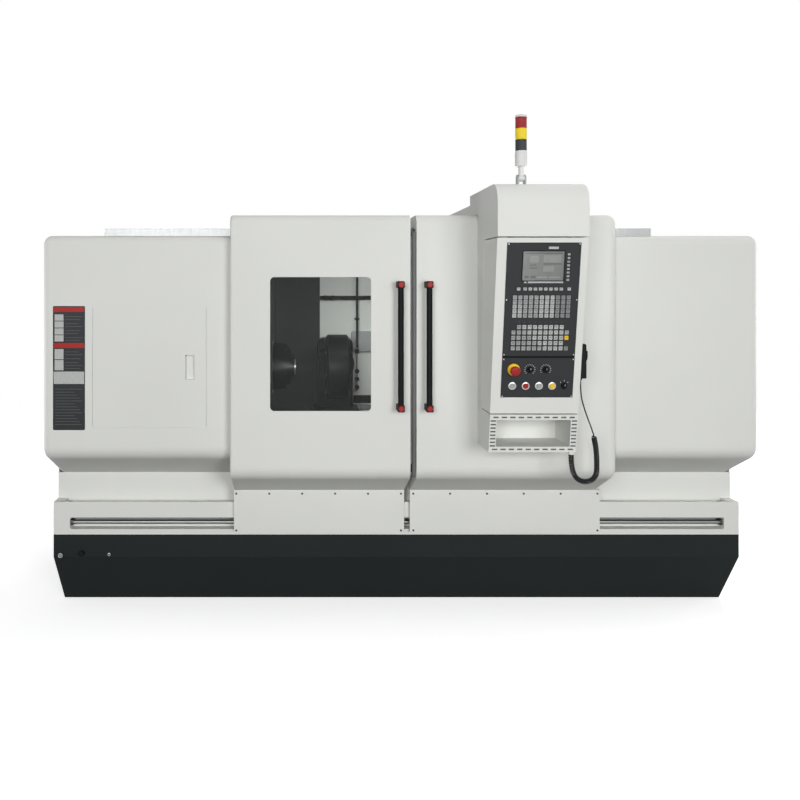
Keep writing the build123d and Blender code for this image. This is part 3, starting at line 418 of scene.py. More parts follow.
def curls(route):
    """The helix that winds round a route, opening out into the straight lead at its start."""
    points = points_on(route, "curl_guide")
    lengths = along(points)
    open_length = (open_pitch - curl_pitch) * ease_steps / steps_per_turn / 2
    steps = int((lengths[-1] - open_length) / curl_pitch * steps_per_turn)
    wound = [eased(step / ease_steps) for step in range(steps + 1)]
    walked = [0.0]
    for before, here in zip(wound, wound[1:]):
        walked.append(walked[-1] + open_pitch + (curl_pitch - open_pitch) * (before + here) / 2)
    radius = (curl_width - lead_thickness) / 2
    side = Vector((0, 1, 0))
    found = []
    for step in range(steps + 1):
        place, ahead = at_length(points, lengths, lengths[-1] * walked[step] / walked[-1])
        side = (side - ahead * side.dot(ahead)).normalized()
        turn = 2 * math.pi * step / steps_per_turn
        out = side * math.cos(turn) + ahead.cross(side) * math.sin(turn)
        found.append(place + out * radius * wound[step])
    return found


# %% Cord
cord_points = [Vector(spot) for spot in lead_route[:-1]] + curls(curl_route)
handwheel_cord = cord_curve("handwheel_cord", cord_points, resolution=2)
handwheel_cord.data.bevel_depth = lead_thickness / 2
handwheel_cord.data.bevel_resolution = 2
handwheel_cord.data.materials.append(rubber)
cord_length = along(points_on(cord_points, "cord_measure"))[-1]
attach(handwheel_cord, "right_door")
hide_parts("handwheel_lead", "handwheel_curly_cord")
print("cord", round(cord_length, 3), "m of", len(cord_points), "points")

# %% [markdown]
# ## Forms and pieces
# Screws, rings, knobs and keys come in rows, so each is made once and stamped where it is needed. Round
# ones are turned, as on a lathe, by spinning half a profile. Flat ones start as a cube, whose upright
# edges are beveled first and whose top edges are softened after that. Forms are stamped in place, so a
# piece stays at the origin and its surface patterns stay put, and it rides on the body that carries it.

# %% Helpers that shape a form
front_frame = Matrix.Rotation(math.radians(90), 4, "X")
rear_frame = Matrix.Rotation(math.radians(-90), 4, "X")
along_spindle = Matrix.Rotation(math.radians(90), 4, "Y")
against_spindle = Matrix.Rotation(math.radians(-90), 4, "Y")
same_place = 1e-6


def keep_form(work, name="form"):
    """Stores a shaped bmesh, so that it can be stamped many times."""
    form = bpy.data.meshes.new(name)
    work.to_mesh(form)
    work.free()
    return form


def turned(profile, steps, ring=False):
    """A turned form: points of (radius, height) spun round Z, with a closed profile for a ring."""
    work = bmesh.new()
    corners = [work.verts.new((radius, 0, height)) for radius, height in profile]
    ends = corners[1:] + corners[:1] if ring else corners[1:]
    sides = [work.edges.new(pair) for pair in zip(corners, ends)]
    bmesh.ops.spin(
        work,
        geom=corners + sides,
        axis=(0, 0, 1),
        cent=(0, 0, 0),
        angle=2 * math.pi,
        steps=steps,
        use_merge=True,
    )
    bmesh.ops.remove_doubles(work, verts=work.verts, dist=same_place)
    bmesh.ops.recalc_face_normals(work, faces=work.faces)
    return keep_form(work)


def eye(radius, wire_radius, sides, steps):
    """A turned ring of round wire."""
    turns = [math.radians(angle) for angle in range(0, 360, 360 // sides)]
    profile = [(radius + wire_radius * math.cos(turn), wire_radius * math.sin(turn)) for turn in turns]
    return turned(profile, steps, ring=True)


def soften(work, edges, offset, segments):
    """Rounds the given edges."""
    bmesh.ops.bevel(
        work, geom=edges, offset=offset, affect="EDGES", segments=segments, profile=0.5, material=-1
    )


def slab(size, corner=0.0, edge=0.0, rounds=3):
    """A plate standing on the XY plane, with round corners and softened upper edges."""
    work = bmesh.new()
    bmesh.ops.create_cube(work, size=1)
    bmesh.ops.scale(work, vec=size, verts=work.verts)
    bmesh.ops.translate(work, vec=(0, 0, size[2] / 2), verts=work.verts)
    if corner:
        uprights = [e for e in work.edges if abs(e.verts[0].co.z - e.verts[1].co.z) > size[2] / 2]
        soften(work, uprights, corner, rounds)
    if edge:
        top = max(work.faces, key=lambda face: face.calc_center_median().z)
        soften(work, top.edges[:], edge, 1)
    return keep_form(work)


# %% Helpers that place forms and make pieces
sharp_angle = math.radians(35)


def at(x, y, z, turned_to=None):
    """A place in the machine's frame, with the way that the form faces."""
    moved = Matrix.Translation((x, y, z))
    return moved @ turned_to if turned_to else moved


def stamp(work, form, matrix, finish_index=0):
    """Copies a form into a piece at a place."""
    first_corner = len(work.verts)
    first_face = len(work.faces)
    work.from_mesh(form)
    work.verts.ensure_lookup_table()
    work.faces.ensure_lookup_table()
    bmesh.ops.transform(work, matrix=matrix, verts=work.verts[first_corner:])
    for face in work.faces[first_face:]:
        face.material_index = finish_index


def piece(name, mesh_work, material, body, smooth=True):
    """A finished object from a bmesh, riding on a body."""
    mesh = bpy.data.meshes.new(name)
    if smooth:
        for face in mesh_work.faces:
            face.smooth = True
        for edge in mesh_work.edges:
            if len(edge.link_faces) == 2 and edge.calc_face_angle(0) > sharp_angle:
                edge.smooth = False
    mesh_work.to_mesh(mesh)
    mesh_work.free()
    for each in material if isinstance(material, list) else [material]:
        mesh.materials.append(each)
    made = bpy.data.objects.new(name, mesh)
    scene.collection.objects.link(made)
    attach(made, body)
    return made


def stamped(name, stamps, material, body, smooth=True):
    """A piece made of stamps: each is a form, its place and, among several finishes, its number."""
    work = bmesh.new()
    for each in stamps:
        stamp(work, *each)
    return piece(name, work, material, body, smooth)


def at_front(form, spots, face):
    """Stamps of one form at spots (x, z) on a face that looks to the front."""
    return [(form, at(x, face, z, front_frame)) for x, z in spots]


# %% [markdown]
# ## Screws
# Low round heads with a socket hold the door skirts, the slot of the tray and the control panels. The
# turned profile dips in the middle for the socket, and each row of heads is one piece on its own body.

# %% Screw rows
skirt_front = -0.8675
skirt_screw_top = 0.663
skirt_screw_foot = 0.461
skirt_rows = [
    ("left_skirt_screws", "left_door", [-0.882, -0.701, -0.520, -0.339, -0.158, 0.023]),
    ("right_skirt_screws", "right_door", [0.091, 0.293, 0.496, 0.698, 0.901, 1.103]),
]
slot_back = -0.7875
slot_screw_height = 0.513
slot_screw_pitch = 0.177
slot_screw_count = 20
slot_shade_size = (3.592, 0.028, 0.0012)
slot_shade_middle = (0.004, 0.508)

skirt_screw = turned(
    [(0, 0.001), (0.0022, 0.001), (0.0026, 0.0032), (0.0046, 0.0032), (0.0058, 0.002), (0.006, 0)],
    steps=16,
)
slot_screw = turned(
    [(0, 0.003), (0.0032, 0.003), (0.0036, 0.007), (0.0058, 0.007), (0.0066, 0.006), (0.0066, 0)],
    steps=16,
)


def screw_row(name, form, spots, facing, body):
    """One piece with a screw head at every spot."""
    stamped(name, [(form, at(*spot, facing)) for spot in spots], screw_steel, body)
    print(name, len(spots))


for name, door, columns in skirt_rows:
    skirt_spots = [(x, skirt_front, skirt_screw_top) for x in columns]
    skirt_spots += [(x, skirt_front, skirt_screw_foot) for x in (columns[0], columns[-1])]
    screw_row(name, skirt_screw, skirt_spots, front_frame, door)
# A grey plate on the back of the tray's slot is painted shade: it darkens the slot as the shade under the
# housing's overhang does.
slot_shade_grey = finish("slot_shade_grey", (0.25, 0.255, 0.25), (0.21, 0.215, 0.21), drift_scale=3, peel_height=0.02)
slot_shade_form = slab(slot_shade_size, corner=0.004, edge=0.0004)
slot_shade_stamps = at_front(slot_shade_form, [slot_shade_middle], slot_back)
stamped("slot_back_shade", slot_shade_stamps, slot_shade_grey, "frame", smooth=False)
slot_middle = (slot_screw_count - 1) / 2
slot_screw_columns = [(each - slot_middle) * slot_screw_pitch for each in range(slot_screw_count)]
slot_spots = [(x, slot_back, slot_screw_height) for x in slot_screw_columns]
screw_row("slot_screws", slot_screw, slot_spots, front_frame, "frame")

# %% [markdown]
# ## Seal between the doors
# A grey rubber lip runs down the edge of the right door and hides the gap to the left door. Its grey is
# painted shade, darkened to match the shade on the door's edge in that gap. The lip is a softened strip,
# and a thin ridge on it is what the other door touches.

# %% Door seal
seal_length = 1.270
seal_middle = 1.450
lip_across = 0.0612
lip_seat = -1.084
ridge_across = 0.0555
ridge_seat = -1.096
# The lip's grey is painted shade of the gap between the doors.
seal_gap_shade_grey = finish(
    "seal_gap_shade_grey", (0.150, 0.152, 0.150), (0.120, 0.122, 0.120), matt=0.15, drift_scale=3, peel_height=0.05
)
lip_form = slab((0.022, seal_length, 0.012), corner=0.004, edge=0.002)
ridge_form = slab((0.006, seal_length, 0.005), edge=0.002)
seal_stamps = at_front(lip_form, [(lip_across, seal_middle)], lip_seat)
seal_stamps += at_front(ridge_form, [(ridge_across, seal_middle)], ridge_seat)
stamped("door_seal", seal_stamps, seal_gap_shade_grey, "right_door", smooth=False)
print("seal length", seal_length, "m")

# %% [markdown]
# ## Plate on the left housing
# A tall dark plate sits beside the access door, split into fields by two red bands, a column of pale
# squares and one pale band. The fields are printed, so here they are foils a fraction of a millimetre
# thick on a rounded plate, with rows of faint bars between them.

# %% Plate with fields
plate_middle = (-1.7515, 1.3715)
plate_width = 0.169
plate_height = 0.655
plate_thickness = 0.0012
foil = 0.0003
housing_front = -1.0325
plate_dark = finish(
    "plate_dark", (0.034, 0.037, 0.038), (0.029, 0.032, 0.033), matt=0.1, drift_scale=8, peel_scale=1200
)
plate_pale = finish("plate_pale", (0.50, 0.51, 0.50), (0.44, 0.45, 0.44), matt=0.1, drift_scale=60)
plate_bar = finish("plate_bar", (0.085, 0.088, 0.09), (0.075, 0.078, 0.08), matt=0.1, drift_scale=60)
plate_red = finish("plate_red", (0.40, 0.028, 0.026), (0.36, 0.024, 0.022), matt=0.1, drift_scale=30)
red, pale, dim = 1, 2, 3
band = (-1.832, -1.671)
red_bands = [(1.668, 1.694), (1.478, 1.504)]
pale_band = (1.288, 1.353)
square = (-1.827, -1.780)
square_height = 0.033
large_height = 0.054
bar_height = 0.004
bar_left, bar_right, bar_step = -1.772, -1.680, 0.011
lower_left, lower_right, lower_step = -1.824, -1.682, 0.013
bar_rows = [1.641, 1.626, 1.604, 1.589, 1.567, 1.552, 1.530, 1.516]
bar_rows += [1.455, 1.440, 1.419, 1.398, 1.383, 1.368]
square_feet = [1.512 + each * 0.0365 for each in range(4)]
large_feet = [1.360 + each * 0.058 for each in range(2)]
lower_rows = [1.072 + each * 0.0155 for each in range(13)]


def field(left, right, low, high, finish_index):
    """A thin foil on the plate, placed by its edges in the machine's frame."""
    form = slab((right - left, high - low, foil))
    middle = at((left + right) / 2, housing_front - plate_thickness, (low + high) / 2, front_frame)
    return form, middle, finish_index


plate_form = slab((plate_width, plate_height, plate_thickness), corner=0.006, edge=0.0004)
plate_stamps = at_front(plate_form, [plate_middle], housing_front)
plate_stamps += [field(*band, *edges, red) for edges in red_bands]
plate_stamps += [field(*square, low, low + square_height, pale) for low in square_feet]
plate_stamps += [field(*square, low, low + large_height, pale) for low in large_feet]
plate_stamps.append(field(*band, *pale_band, pale))
for index, low in enumerate(bar_rows):
    plate_stamps.append(field(bar_left, bar_right - bar_step * (index % 3), low, low + bar_height, dim))
for index, low in enumerate(lower_rows):
    plate_stamps.append(field(lower_left, lower_right - lower_step * (index % 4), low, low + bar_height, dim))
plate_finishes = [plate_dark, plate_red, plate_pale, plate_bar]
stamped("housing_plate", plate_stamps, plate_finishes, "frame", smooth=False)
print("plate fields", len(plate_stamps) - 1)

# %% [markdown]
# ## Signal tower
# Three lamp modules stand on a pale fluted stem. A lens is a moulded shell with upright flutes that
# spread the light, so each one is turned with many steps and every second line of points is drawn in.

# %% Lamp modules
tower_place = (0.554, -1.3075)
tower_radius = 0.028
wall_radius = 0.0274
flute_depth = 0.0007
flute_span = (0.0065, 0.0495)
flutes = 36
module_height = 0.055
lens_dark = finish("lens_dark", (0.020, 0.026, 0.028), (0.030, 0.036, 0.038), matt=0.2, drift_scale=40)
lens_yellow = finish("lens_yellow", (0.86, 0.67, 0.025), (0.80, 0.60, 0.02), matt=0.2, drift_scale=40)
lens_red = finish("lens_red", (0.34, 0.022, 0.023), (0.27, 0.016, 0.018), matt=0.2, drift_scale=40)
lamp_modules = [
    ("tower_dark_lens", "tower_dark_module", 2.468, lens_dark, "black_plastic"),
    ("tower_yellow_lens", "tower_yellow_module", 2.523, lens_yellow, "yellow_plastic"),
    ("tower_red_lens", "tower_red_module", 2.578, lens_red, "red_plastic"),
]


def fluted(profile, low, high):
    """A turned form whose wall is drawn into flutes between two heights."""
    form = turned(profile, steps=2 * flutes)
    for corner in form.vertices:
        turn = round(math.atan2(corner.co.y, corner.co.x) / (math.pi / flutes))
        if low < corner.co.z < high and turn % 2:
            reach = math.hypot(corner.co.x, corner.co.y)
            corner.co.xy *= (reach - flute_depth) / reach
    return form


lens_profile = [(0, 0), (0.026, 0), (0.026, 0.002), (tower_radius, 0.003), (tower_radius, 0.006)]
lens_profile += [(wall_radius, 0.007), (wall_radius, 0.049), (tower_radius, 0.050), (tower_radius, 0.054)]
lens_profile += [(0.027, module_height), (0, module_height)]
lens_form = fluted(lens_profile, *flute_span)
for name, node, foot, lens_finish, slot in lamp_modules:
    lens = stamped(name, [(lens_form, at(*tower_place, foot))], lens_finish, "tower")
    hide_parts(node)
    tower_top = foot + module_height
print("tower lenses", len(lamp_modules), "up to", tower_top)

# %% Cap and stem of the tower
stem_ribs = 18
rib_middle = 2.431
rib_sunk = 0.0004
cap_profile = [(0, 0), (tower_radius, 0), (tower_radius, 0.007), (0.026, 0.0105), (0.021, 0.012), (0, 0.012)]
cap_form = turned(cap_profile, steps=48)
stamped("tower_cap", [(cap_form, at(*tower_place, tower_top))], pale_plastic, "tower")
rib_form = slab((0.004, 0.066, 0.0016), edge=0.0008)
rib_out = Matrix.Translation((0, rib_sunk - tower_radius, 0)) @ front_frame
rib_stamps = []
for each in range(stem_ribs):
    spin = Matrix.Rotation(2 * math.pi * each / stem_ribs, 4, "Z")
    rib_stamps.append((rib_form, at(*tower_place, rib_middle, spin @ rib_out)))
stamped("tower_stem_ribs", rib_stamps, pale_plastic, "tower", smooth=False)
paint("tower_stem", pale_plastic)
print("stem ribs", stem_ribs)

# %% [markdown]
# ## Tilted control face
# The control face leans forward by nine degrees, so its top is nearest to the operator. Instead of
# turning each part by hand, one matrix carries a flat drawing board, with u across, v up and w outwards,
# onto the face, and everything is drawn on the board.

# %% Board of the control face
lean = math.radians(9.2)
face_foot = Vector((0.6075, -1.3625, 1.188))
face_height = 0.831
panel_front = 0.004
board = Matrix.Translation(face_foot) @ Matrix.Rotation(math.radians(90) + lean, 4, "X")


def on_board(u, v, w=panel_front, spin=0.0):
    """A place on the control face, by its height w above the board."""
    return board @ Matrix.Translation((u, v, w)) @ Matrix.Rotation(spin, 4, "Z")


face_top = board @ Vector((0, face_height, 0))
print("top of the face at y", round(face_top.y, 4), "z", round(face_top.z, 4))

# %% Panel screws
panel_edge = 0.166
panel_screw_rows = [0.088, 0.271, 0.294, 0.560, 0.825]
panel_screw_profile = [(0, 0.0008), (0.0012, 0.0008), (0.0014, 0.0016), (0.0026, 0.0016), (0.0032, 0)]
panel_screw = turned(panel_screw_profile, steps=12)
panel_spots = [(side * panel_edge, v) for v in panel_screw_rows for side in (-1, 1)]
panel_stamps = [(panel_screw, on_board(*spot)) for spot in panel_spots]
stamped("panel_screws", panel_stamps, steel, "right_door")
print("panel screws", len(panel_spots))

# %% [markdown]
# ## Keys
# The keypad is a film with raised caps. Each cap is a small block with softened edges and one or two
# printed dark bars. The caps differ in tone by group, so one piece carries several finishes and each
# cap says which one it takes.

# %% Key tables
key_tones = [(0.42, 0.43, 0.42), (0.30, 0.31, 0.305), (0.19, 0.20, 0.195)]
shade_share = 0.92
key_finishes = [panel_film]
for number, key_tone in enumerate(key_tones):
    darker = tuple(shade_share * part for part in key_tone)
    key_finishes.append(finish(f"key_tone_{number}", key_tone, darker, drift_scale=50, peel_scale=1500))
key_finishes += [yellow_plastic, panel_film]
light_key, mid_key, dark_key, yellow_key, legend = 1, 2, 3, 4, 5
pitch_across = 0.0253
first_column = -5 * pitch_across
key_grid = [(column, row) for column in range(11) for row in range(5)]
edit_middle, edit_pitch = 0.528, 0.0218
machine_middle, machine_pitch = 0.377, 0.0259
soft_row = 0.612
side_column, side_middle, side_pitch = 0.117, 0.716, 0.0172
soft_shares = (0.6, 1.8, 2.76, 3.72, 4.68, 5.64, 6.6, 7.56, 8.52, 10)
no_machine_key = ((0, 4), (10, 4), (10, 1))


def edit_tone(column, row):
    """Rows count from the bottom."""
    if column in (5, 6, 7) or (column in (0, 1) and row < 3):
        return light_key
    return dark_key if column > 7 else mid_key


def machine_tone(column, row):
    if (column, row) == (10, 2):
        return yellow_key
    if (column, row) == (10, 0):
        return dark_key
    return light_key if column + row > 5 and column < 10 else mid_key


def key_block(grid, middle, pitch, tone):
    """The keys of one block: each is a place on the board and the number of its tone."""
    keys = []
    for column, row in grid:
        across = first_column + column * pitch_across
        up = middle + (row - 2) * pitch
        keys.append((across, up, tone(column, row)))
    return keys


machine_grid = [spot for spot in key_grid if spot not in no_machine_key]
edit_keys = key_block(key_grid, edit_middle, edit_pitch, edit_tone)
machine_keys = key_block(machine_grid, machine_middle, machine_pitch, machine_tone)
soft_keys = [(first_column + share * pitch_across, soft_row, light_key) for share in soft_shares]
side_keys = [(side_column, side_middle + (key - 3.5) * side_pitch, light_key) for key in range(8)]
print("keys", len(edit_keys) + len(machine_keys) + len(soft_keys) + len(side_keys))

# %% Keypad
mat_height = 0.0012
cap_height = 0.003
print_height = 0.00012
bar_offset_share = 0.14
long_bar_shares = (0.5, 0.11)
short_bar_shares = (0.3, 0.09)
short_bar_shift_share = 0.08
mats = [
    (0, edit_middle, 0.2815, 0.1164),
    (0, machine_middle, 0.2815, 0.1331),
    (0.0076, soft_row, 0.264, 0.024),
    (side_column, side_middle, 0.022, 0.1394),
]
key_groups = [
    (edit_keys, 0.0185, 0.0192),
    (machine_keys, 0.0185, 0.0195),
    (soft_keys, 0.016, 0.014),
    (side_keys, 0.012, 0.009),
]
key_foot = panel_front + mat_height
key_top = key_foot + cap_height
key_stamps = []
for u, v, width, height in mats:
    mat_form = slab((width, height, mat_height), corner=0.003, edge=0.0004)
    key_stamps.append((mat_form, on_board(u, v)))
for keys, width, height in key_groups:
    key_form = slab((width, height, cap_height), corner=0.0014, edge=0.0009, rounds=2)
    long_bar = slab((long_bar_shares[0] * width, long_bar_shares[1] * height, print_height))
    short_bar = slab((short_bar_shares[0] * width, short_bar_shares[1] * height, print_height))
    bar_offset = bar_offset_share * height
    bar_shift = short_bar_shift_share * width
    for index, (u, v, tone_index) in enumerate(keys):
        key_stamps.append((key_form, on_board(u, v, key_foot), tone_index))
        key_stamps.append((long_bar, on_board(u, v + bar_offset, key_top), legend))
        if index % 3:
            key_stamps.append((short_bar, on_board(u - bar_shift, v - bar_offset, key_top), legend))
keypad_piece = stamped("keypad_caps", key_stamps, key_finishes, "right_door", smooth=False)
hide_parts("keypad")
print("keypad faces", len(keypad_piece.data.polygons))

# %% [markdown]
# ## Screen
# The screen is a grey liquid-crystal pane with blocks a little lighter or darker than its ground. The
# blocks are foils on the pane, inside a raised dark rim, and a pale strip with a small wedge lies below.

# %% Screen fields
block_height = 0.0002
strip_height = 0.0006
strip_middle = (0.014, 0.6455)
wedge_middle = (-0.081, 0.6445)
top_strip_middle = (0.045, 0.8065)


def screen_tone(name, colour, shade, drift_scale):
    """A smooth grey of the screen."""
    return finish(name, colour, shade, drift_scale=drift_scale, peel_height=0.01, smoothest=0.2, roughest=0.3)


screen_ground = screen_tone("screen_ground", (0.160, 0.167, 0.160), (0.140, 0.147, 0.140), 25)
screen_light = screen_tone("screen_light", (0.22, 0.228, 0.22), (0.195, 0.203, 0.195), 40)
screen_dark = screen_tone("screen_dark", (0.088, 0.092, 0.088), (0.072, 0.076, 0.072), 40)
paint("display_screen", screen_ground)
screen_blocks = [
    (-0.088, 0.778, 0.176, 0.006, 1),
    (-0.064, 0.738, 0.042, 0.032, 0),
    (-0.064, 0.722, 0.030, 0.006, 1),
    (-0.064, 0.708, 0.036, 0.006, 1),
    (0.000, 0.738, 0.082, 0.034, 0),
    (0.000, 0.728, 0.086, 0.005, 1),
    (0.000, 0.694, 0.050, 0.026, 0),
    (-0.086, 0.663, 0.020, 0.012, 1),
    (-0.058, 0.663, 0.024, 0.012, 1),
    (-0.028, 0.663, 0.050, 0.008, 0),
    (0.030, 0.663, 0.052, 0.008, 0),
]
screen_stamps = []
for left, foot, width, height, tone_index in screen_blocks:
    block_form = slab((width, height, block_height))
    screen_stamps.append((block_form, on_board(left + width / 2, foot + height / 2), tone_index))
stamped("screen_fields", screen_stamps, [screen_light, screen_dark], "right_door", smooth=False)

strip_form = slab((0.166, 0.011, strip_height), corner=0.001)
wedge_form = turned([(0, strip_height), (0.009, strip_height), (0.009, 0)], steps=3)
top_strip_form = slab((0.046, 0.011, strip_height), corner=0.001)
strip_stamps = [
    (strip_form, on_board(*strip_middle)),
    (wedge_form, on_board(*wedge_middle, spin=math.radians(90))),
    (top_strip_form, on_board(*top_strip_middle)),
]
stamped("screen_strip", strip_stamps, plate_pale, "right_door", smooth=False)
print("screen blocks", len(screen_blocks))

# %% Screen rim
screen_middle = (0, 0.721)
rim_size = (0.201, 0.146, 0.0022)
rim_width = 0.0042
nearly_flat = 0.9
rim_work = bmesh.new()
rim_work.from_mesh(slab(rim_size, corner=0.004))
caps = [face for face in rim_work.faces if abs(face.normal.z) > nearly_flat]
bmesh.ops.inset_region(rim_work, faces=caps, thickness=rim_width, use_even_offset=True)
inner = [face for face in rim_work.faces if face in caps]
bridge_edges = [edge for face in inner for edge in face.edges]
bmesh.ops.delete(rim_work, geom=inner, context="FACES_ONLY")
bmesh.ops.bridge_loops(rim_work, edges=bridge_edges)
bmesh.ops.recalc_face_normals(rim_work, faces=rim_work.faces)
bmesh.ops.transform(rim_work, matrix=on_board(*screen_middle), verts=rim_work.verts)
rim = piece("screen_rim", rim_work, black_plastic, "right_door")
print("rim faces", len(rim.data.polygons))

# %% [markdown]
# ## Switches
# A stop mushroom on a yellow collar, two knobs with scales, four lit buttons in metal rings and a
# selector. The moving part of each is its own piece on its own joint, and what stays on the panel, such
# as collar, ring and scale, rides on the door.

# %% Stop mushroom and its collar
stop_place = (-0.116, 0.220)
mushroom_profile = [(0, -0.008), (0.011, -0.008), (0.011, 0.026), (0.020, 0.027), (0.0236, 0.030)]
mushroom_profile += [(0.024, 0.034), (0.0225, 0.039), (0.018, 0.0425), (0.010, 0.0438), (0, 0.044)]
mushroom_form = turned(mushroom_profile, steps=48)
mushroom = stamped(
    "stop_mushroom", [(mushroom_form, on_board(*stop_place, 0))], red_plastic, "estop_button"
)
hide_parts("estop_button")
collar_profile = [(0.0118, 0), (0.030, 0), (0.030, 0.003), (0.028, 0.006), (0.017, 0.0075)]
collar_profile += [(0.0165, 0.012), (0.0118, 0.012)]
collar_form = turned(collar_profile, steps=48, ring=True)
collar_stamps = [(collar_form, on_board(*stop_place))]
stamped("stop_collar", collar_stamps, yellow_plastic, "right_door")
print("mushroom faces", len(mushroom.data.polygons))

# %% Rings round the buttons
button_row = 0.140
buttons = {
    "start_button": (-0.120, grey_plastic),
    "lamp_button": (-0.056, red_plastic),
    "stop_button": (0.008, grey_plastic),
    "reset_button": (0.071, yellow_plastic),
}
button_ring = turned(
    [(0.0136, 0), (0.0188, 0), (0.0188, 0.0025), (0.0176, 0.0042), (0.0146, 0.005), (0.0136, 0.0044)],
    steps=40,
    ring=True,
)
ring_stamps = []
for node, (u, cap_finish) in buttons.items():
    paint(node, cap_finish)
    ring_stamps.append((button_ring, on_board(u, button_row)))
stamped("button_rings", ring_stamps, steel, "right_door")
print("button rings", len(ring_stamps))

# %% Knobs and their scales
knob_foot = 0.0043
knob_top = 0.0203
tick_radius = 0.0245
mark_height = 0.0002
mark_rise = 0.0065
knobs = {
    "feed_knob": (-0.039, 0.220, 135, 13),
    "speed_knob": (0.037, 0.220, 120, 11),
    "mode_switch": (0.129, 0.140, 45, 3),
}
knob_profile = [(0, 0), (0.0150, 0), (0.0150, 0.003), (0.0138, 0.0045), (0.0132, 0.0075)]
knob_profile += [(0.0122, 0.0085), (0, 0.0085)]
knob_skirt = turned(knob_profile, steps=36)
knob_grip = slab((0.009, 0.0255, 0.016), corner=0.003, edge=0.0014)
knob_mark = slab((0.0022, 0.010, mark_height))
tick_form = slab((0.0026, 0.0054, mark_height))
scale_stamps = []
for node, (u, v, sweep, ticks) in knobs.items():
    foot = on_board(u, v, knob_foot)
    mark_place = on_board(u, v + mark_rise, knob_top)
    knob_stamps = [(knob_skirt, foot), (knob_grip, foot), (knob_mark, mark_place, 1)]
    knob = stamped(node + "_grip", knob_stamps, [black_plastic, plate_pale], node)
    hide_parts(node)
    for each in range(ticks):
        turn = math.radians(sweep * (1 - 2 * each / (ticks - 1)))
        spot = on_board(u, v, spin=turn) @ Matrix.Translation((0, tick_radius, 0))
        scale_stamps.append((tick_form, spot))
dot_row = 0.4525
dot_count = 9
dim_dot = slab((0.004, 0.004, mark_height))
for each in range(dot_count):
    scale_stamps.append((dim_dot, on_board(first_column + (each + 1) * pitch_across, dot_row), 1))
stamped("knob_scales", scale_stamps, [plate_pale, plate_bar], "right_door", smooth=False)
print("switches", 1 + len(buttons) + len(knobs))

# %% [markdown]
# ## Perforated shelf and panel joint
# The slots in the shelf's frame show the shade behind the perforated sheet, so each slot gets a dark floor
# of painted shade. The joint between the two control panels gets a black strip, and a black strip of
# painted shade fills the shadow gap under the hood.

# %% Painted shade in the slots, and joint strips
shelf_middle = -0.1003
slot_rise = 0.0812
slot_side = 0.1965
slot_reach = 0.1845
slot_shift = -0.006
slot_columns = 10
slot_rows = 8
panel_joint_row = 0.2825
hood_gap_shade_place = (0.5885, -1.487, 2.031)
# The dark floors in the shelf's slots are painted shade, for the shade behind the perforated sheet.
shelf_slot_shade = finish("shelf_slot_shade", (0.075, 0.078, 0.077), (0.06, 0.063, 0.062), drift_scale=40)
shelf_shade_form = slab((0.0256, 0.0076, 0.0008), edge=0.0002)
shelf_shade_stamps = []
for side in (-1, 1):
    for each in range(slot_columns):
        across = slot_shift + slot_reach * (2 * each / (slot_columns - 1) - 1)
        shelf_shade_stamps.append((shelf_shade_form, on_board(across, shelf_middle + side * slot_rise, 0)))
    for each in range(slot_rows):
        up = slot_rise * (2 * (each + 1) / (slot_rows + 1) - 1)
        shelf_shade_stamps.append((shelf_shade_form, on_board(slot_shift + side * slot_side, shelf_middle + up, 0)))
stamped("shelf_painted_shade", shelf_shade_stamps, shelf_slot_shade, "right_door", smooth=False)
joint_form = slab((0.346, 0.0108, 0.0022), edge=0.0006)
# The black strip under the hood is painted shade in the gap between the hood and the control column.
hood_gap_shade_form = slab((0.300, 0.018, 0.005), edge=0.0008)
joints = {
    "panel_joint": (joint_form, on_board(0, panel_joint_row, 0)),
    "hood_gap_shade": (hood_gap_shade_form, at(*hood_gap_shade_place)),
}
for name, joint in joints.items():
    stamped(name, [joint], black_plastic, "right_door", smooth=False)
print("shelf slots", len(shelf_shade_stamps))

# %% [markdown]
# ## Inside the chamber
# Through the window the back wall is dark on the headstock side, where a dark sheet covers it, and shows a
# black cable duct and a coolant pipe on pale paint. A second dark sheet, with a hole for the chuck, lines
# the partition: its hole and its border are two loops of points, which are bridged. All of them ride on the
# frame.

# %% Dark sheets
wall_face = 0.1395
side_face = -0.701
axis_place = (-0.300, 1.300)
sheet = 0.0015
back_sheet_middle = (-0.548, 1.425)
side_sheet_low = (-0.654, -0.662)
side_sheet_high = (0.399, 0.438)
chuck_hole = 0.166
dark_sheet_paint = finish(
    "dark_sheet_paint", (0.040, 0.041, 0.040), (0.031, 0.032, 0.031), matt=0.15,
    drift_scale=5, peel_height=0.002, smoothest=0.62, roughest=0.68
)


def holed_sheet(low, high, hole, thickness, steps=48):
    """A sheet on the XY plane from its low to its high corner, with a round hole at the origin."""
    work = bmesh.new()
    inner = []
    outer = []
    for step in range(steps):
        turn = 2 * math.pi * (step + 0.5) / steps
        across, up = math.cos(turn), math.sin(turn)
        reach = min((high[0] if across > 0 else low[0]) / across, (high[1] if up > 0 else low[1]) / up)
        inner.append(work.verts.new((hole * across, hole * up, 0)))
        outer.append(work.verts.new((reach * across, reach * up, 0)))
    for corner in (Vector((x, y, 0)) for x in (low[0], high[0]) for y in (low[1], high[1])):
        min(outer, key=lambda vertex: (vertex.co - corner).length).co = corner
    loops = [work.edges.new(pair) for ring in (inner, outer) for pair in zip(ring, ring[1:] + ring[:1])]
    bmesh.ops.bridge_loops(work, edges=loops)
    bmesh.ops.recalc_face_normals(work, faces=work.faces)
    bmesh.ops.solidify(work, geom=work.faces[:], thickness=thickness)
    lowest = min(vertex.co.z for vertex in work.verts)
    bmesh.ops.translate(work, vec=(0, 0, -lowest), verts=work.verts)
    bmesh.ops.recalc_face_normals(work, faces=work.faces)
    return keep_form(work)


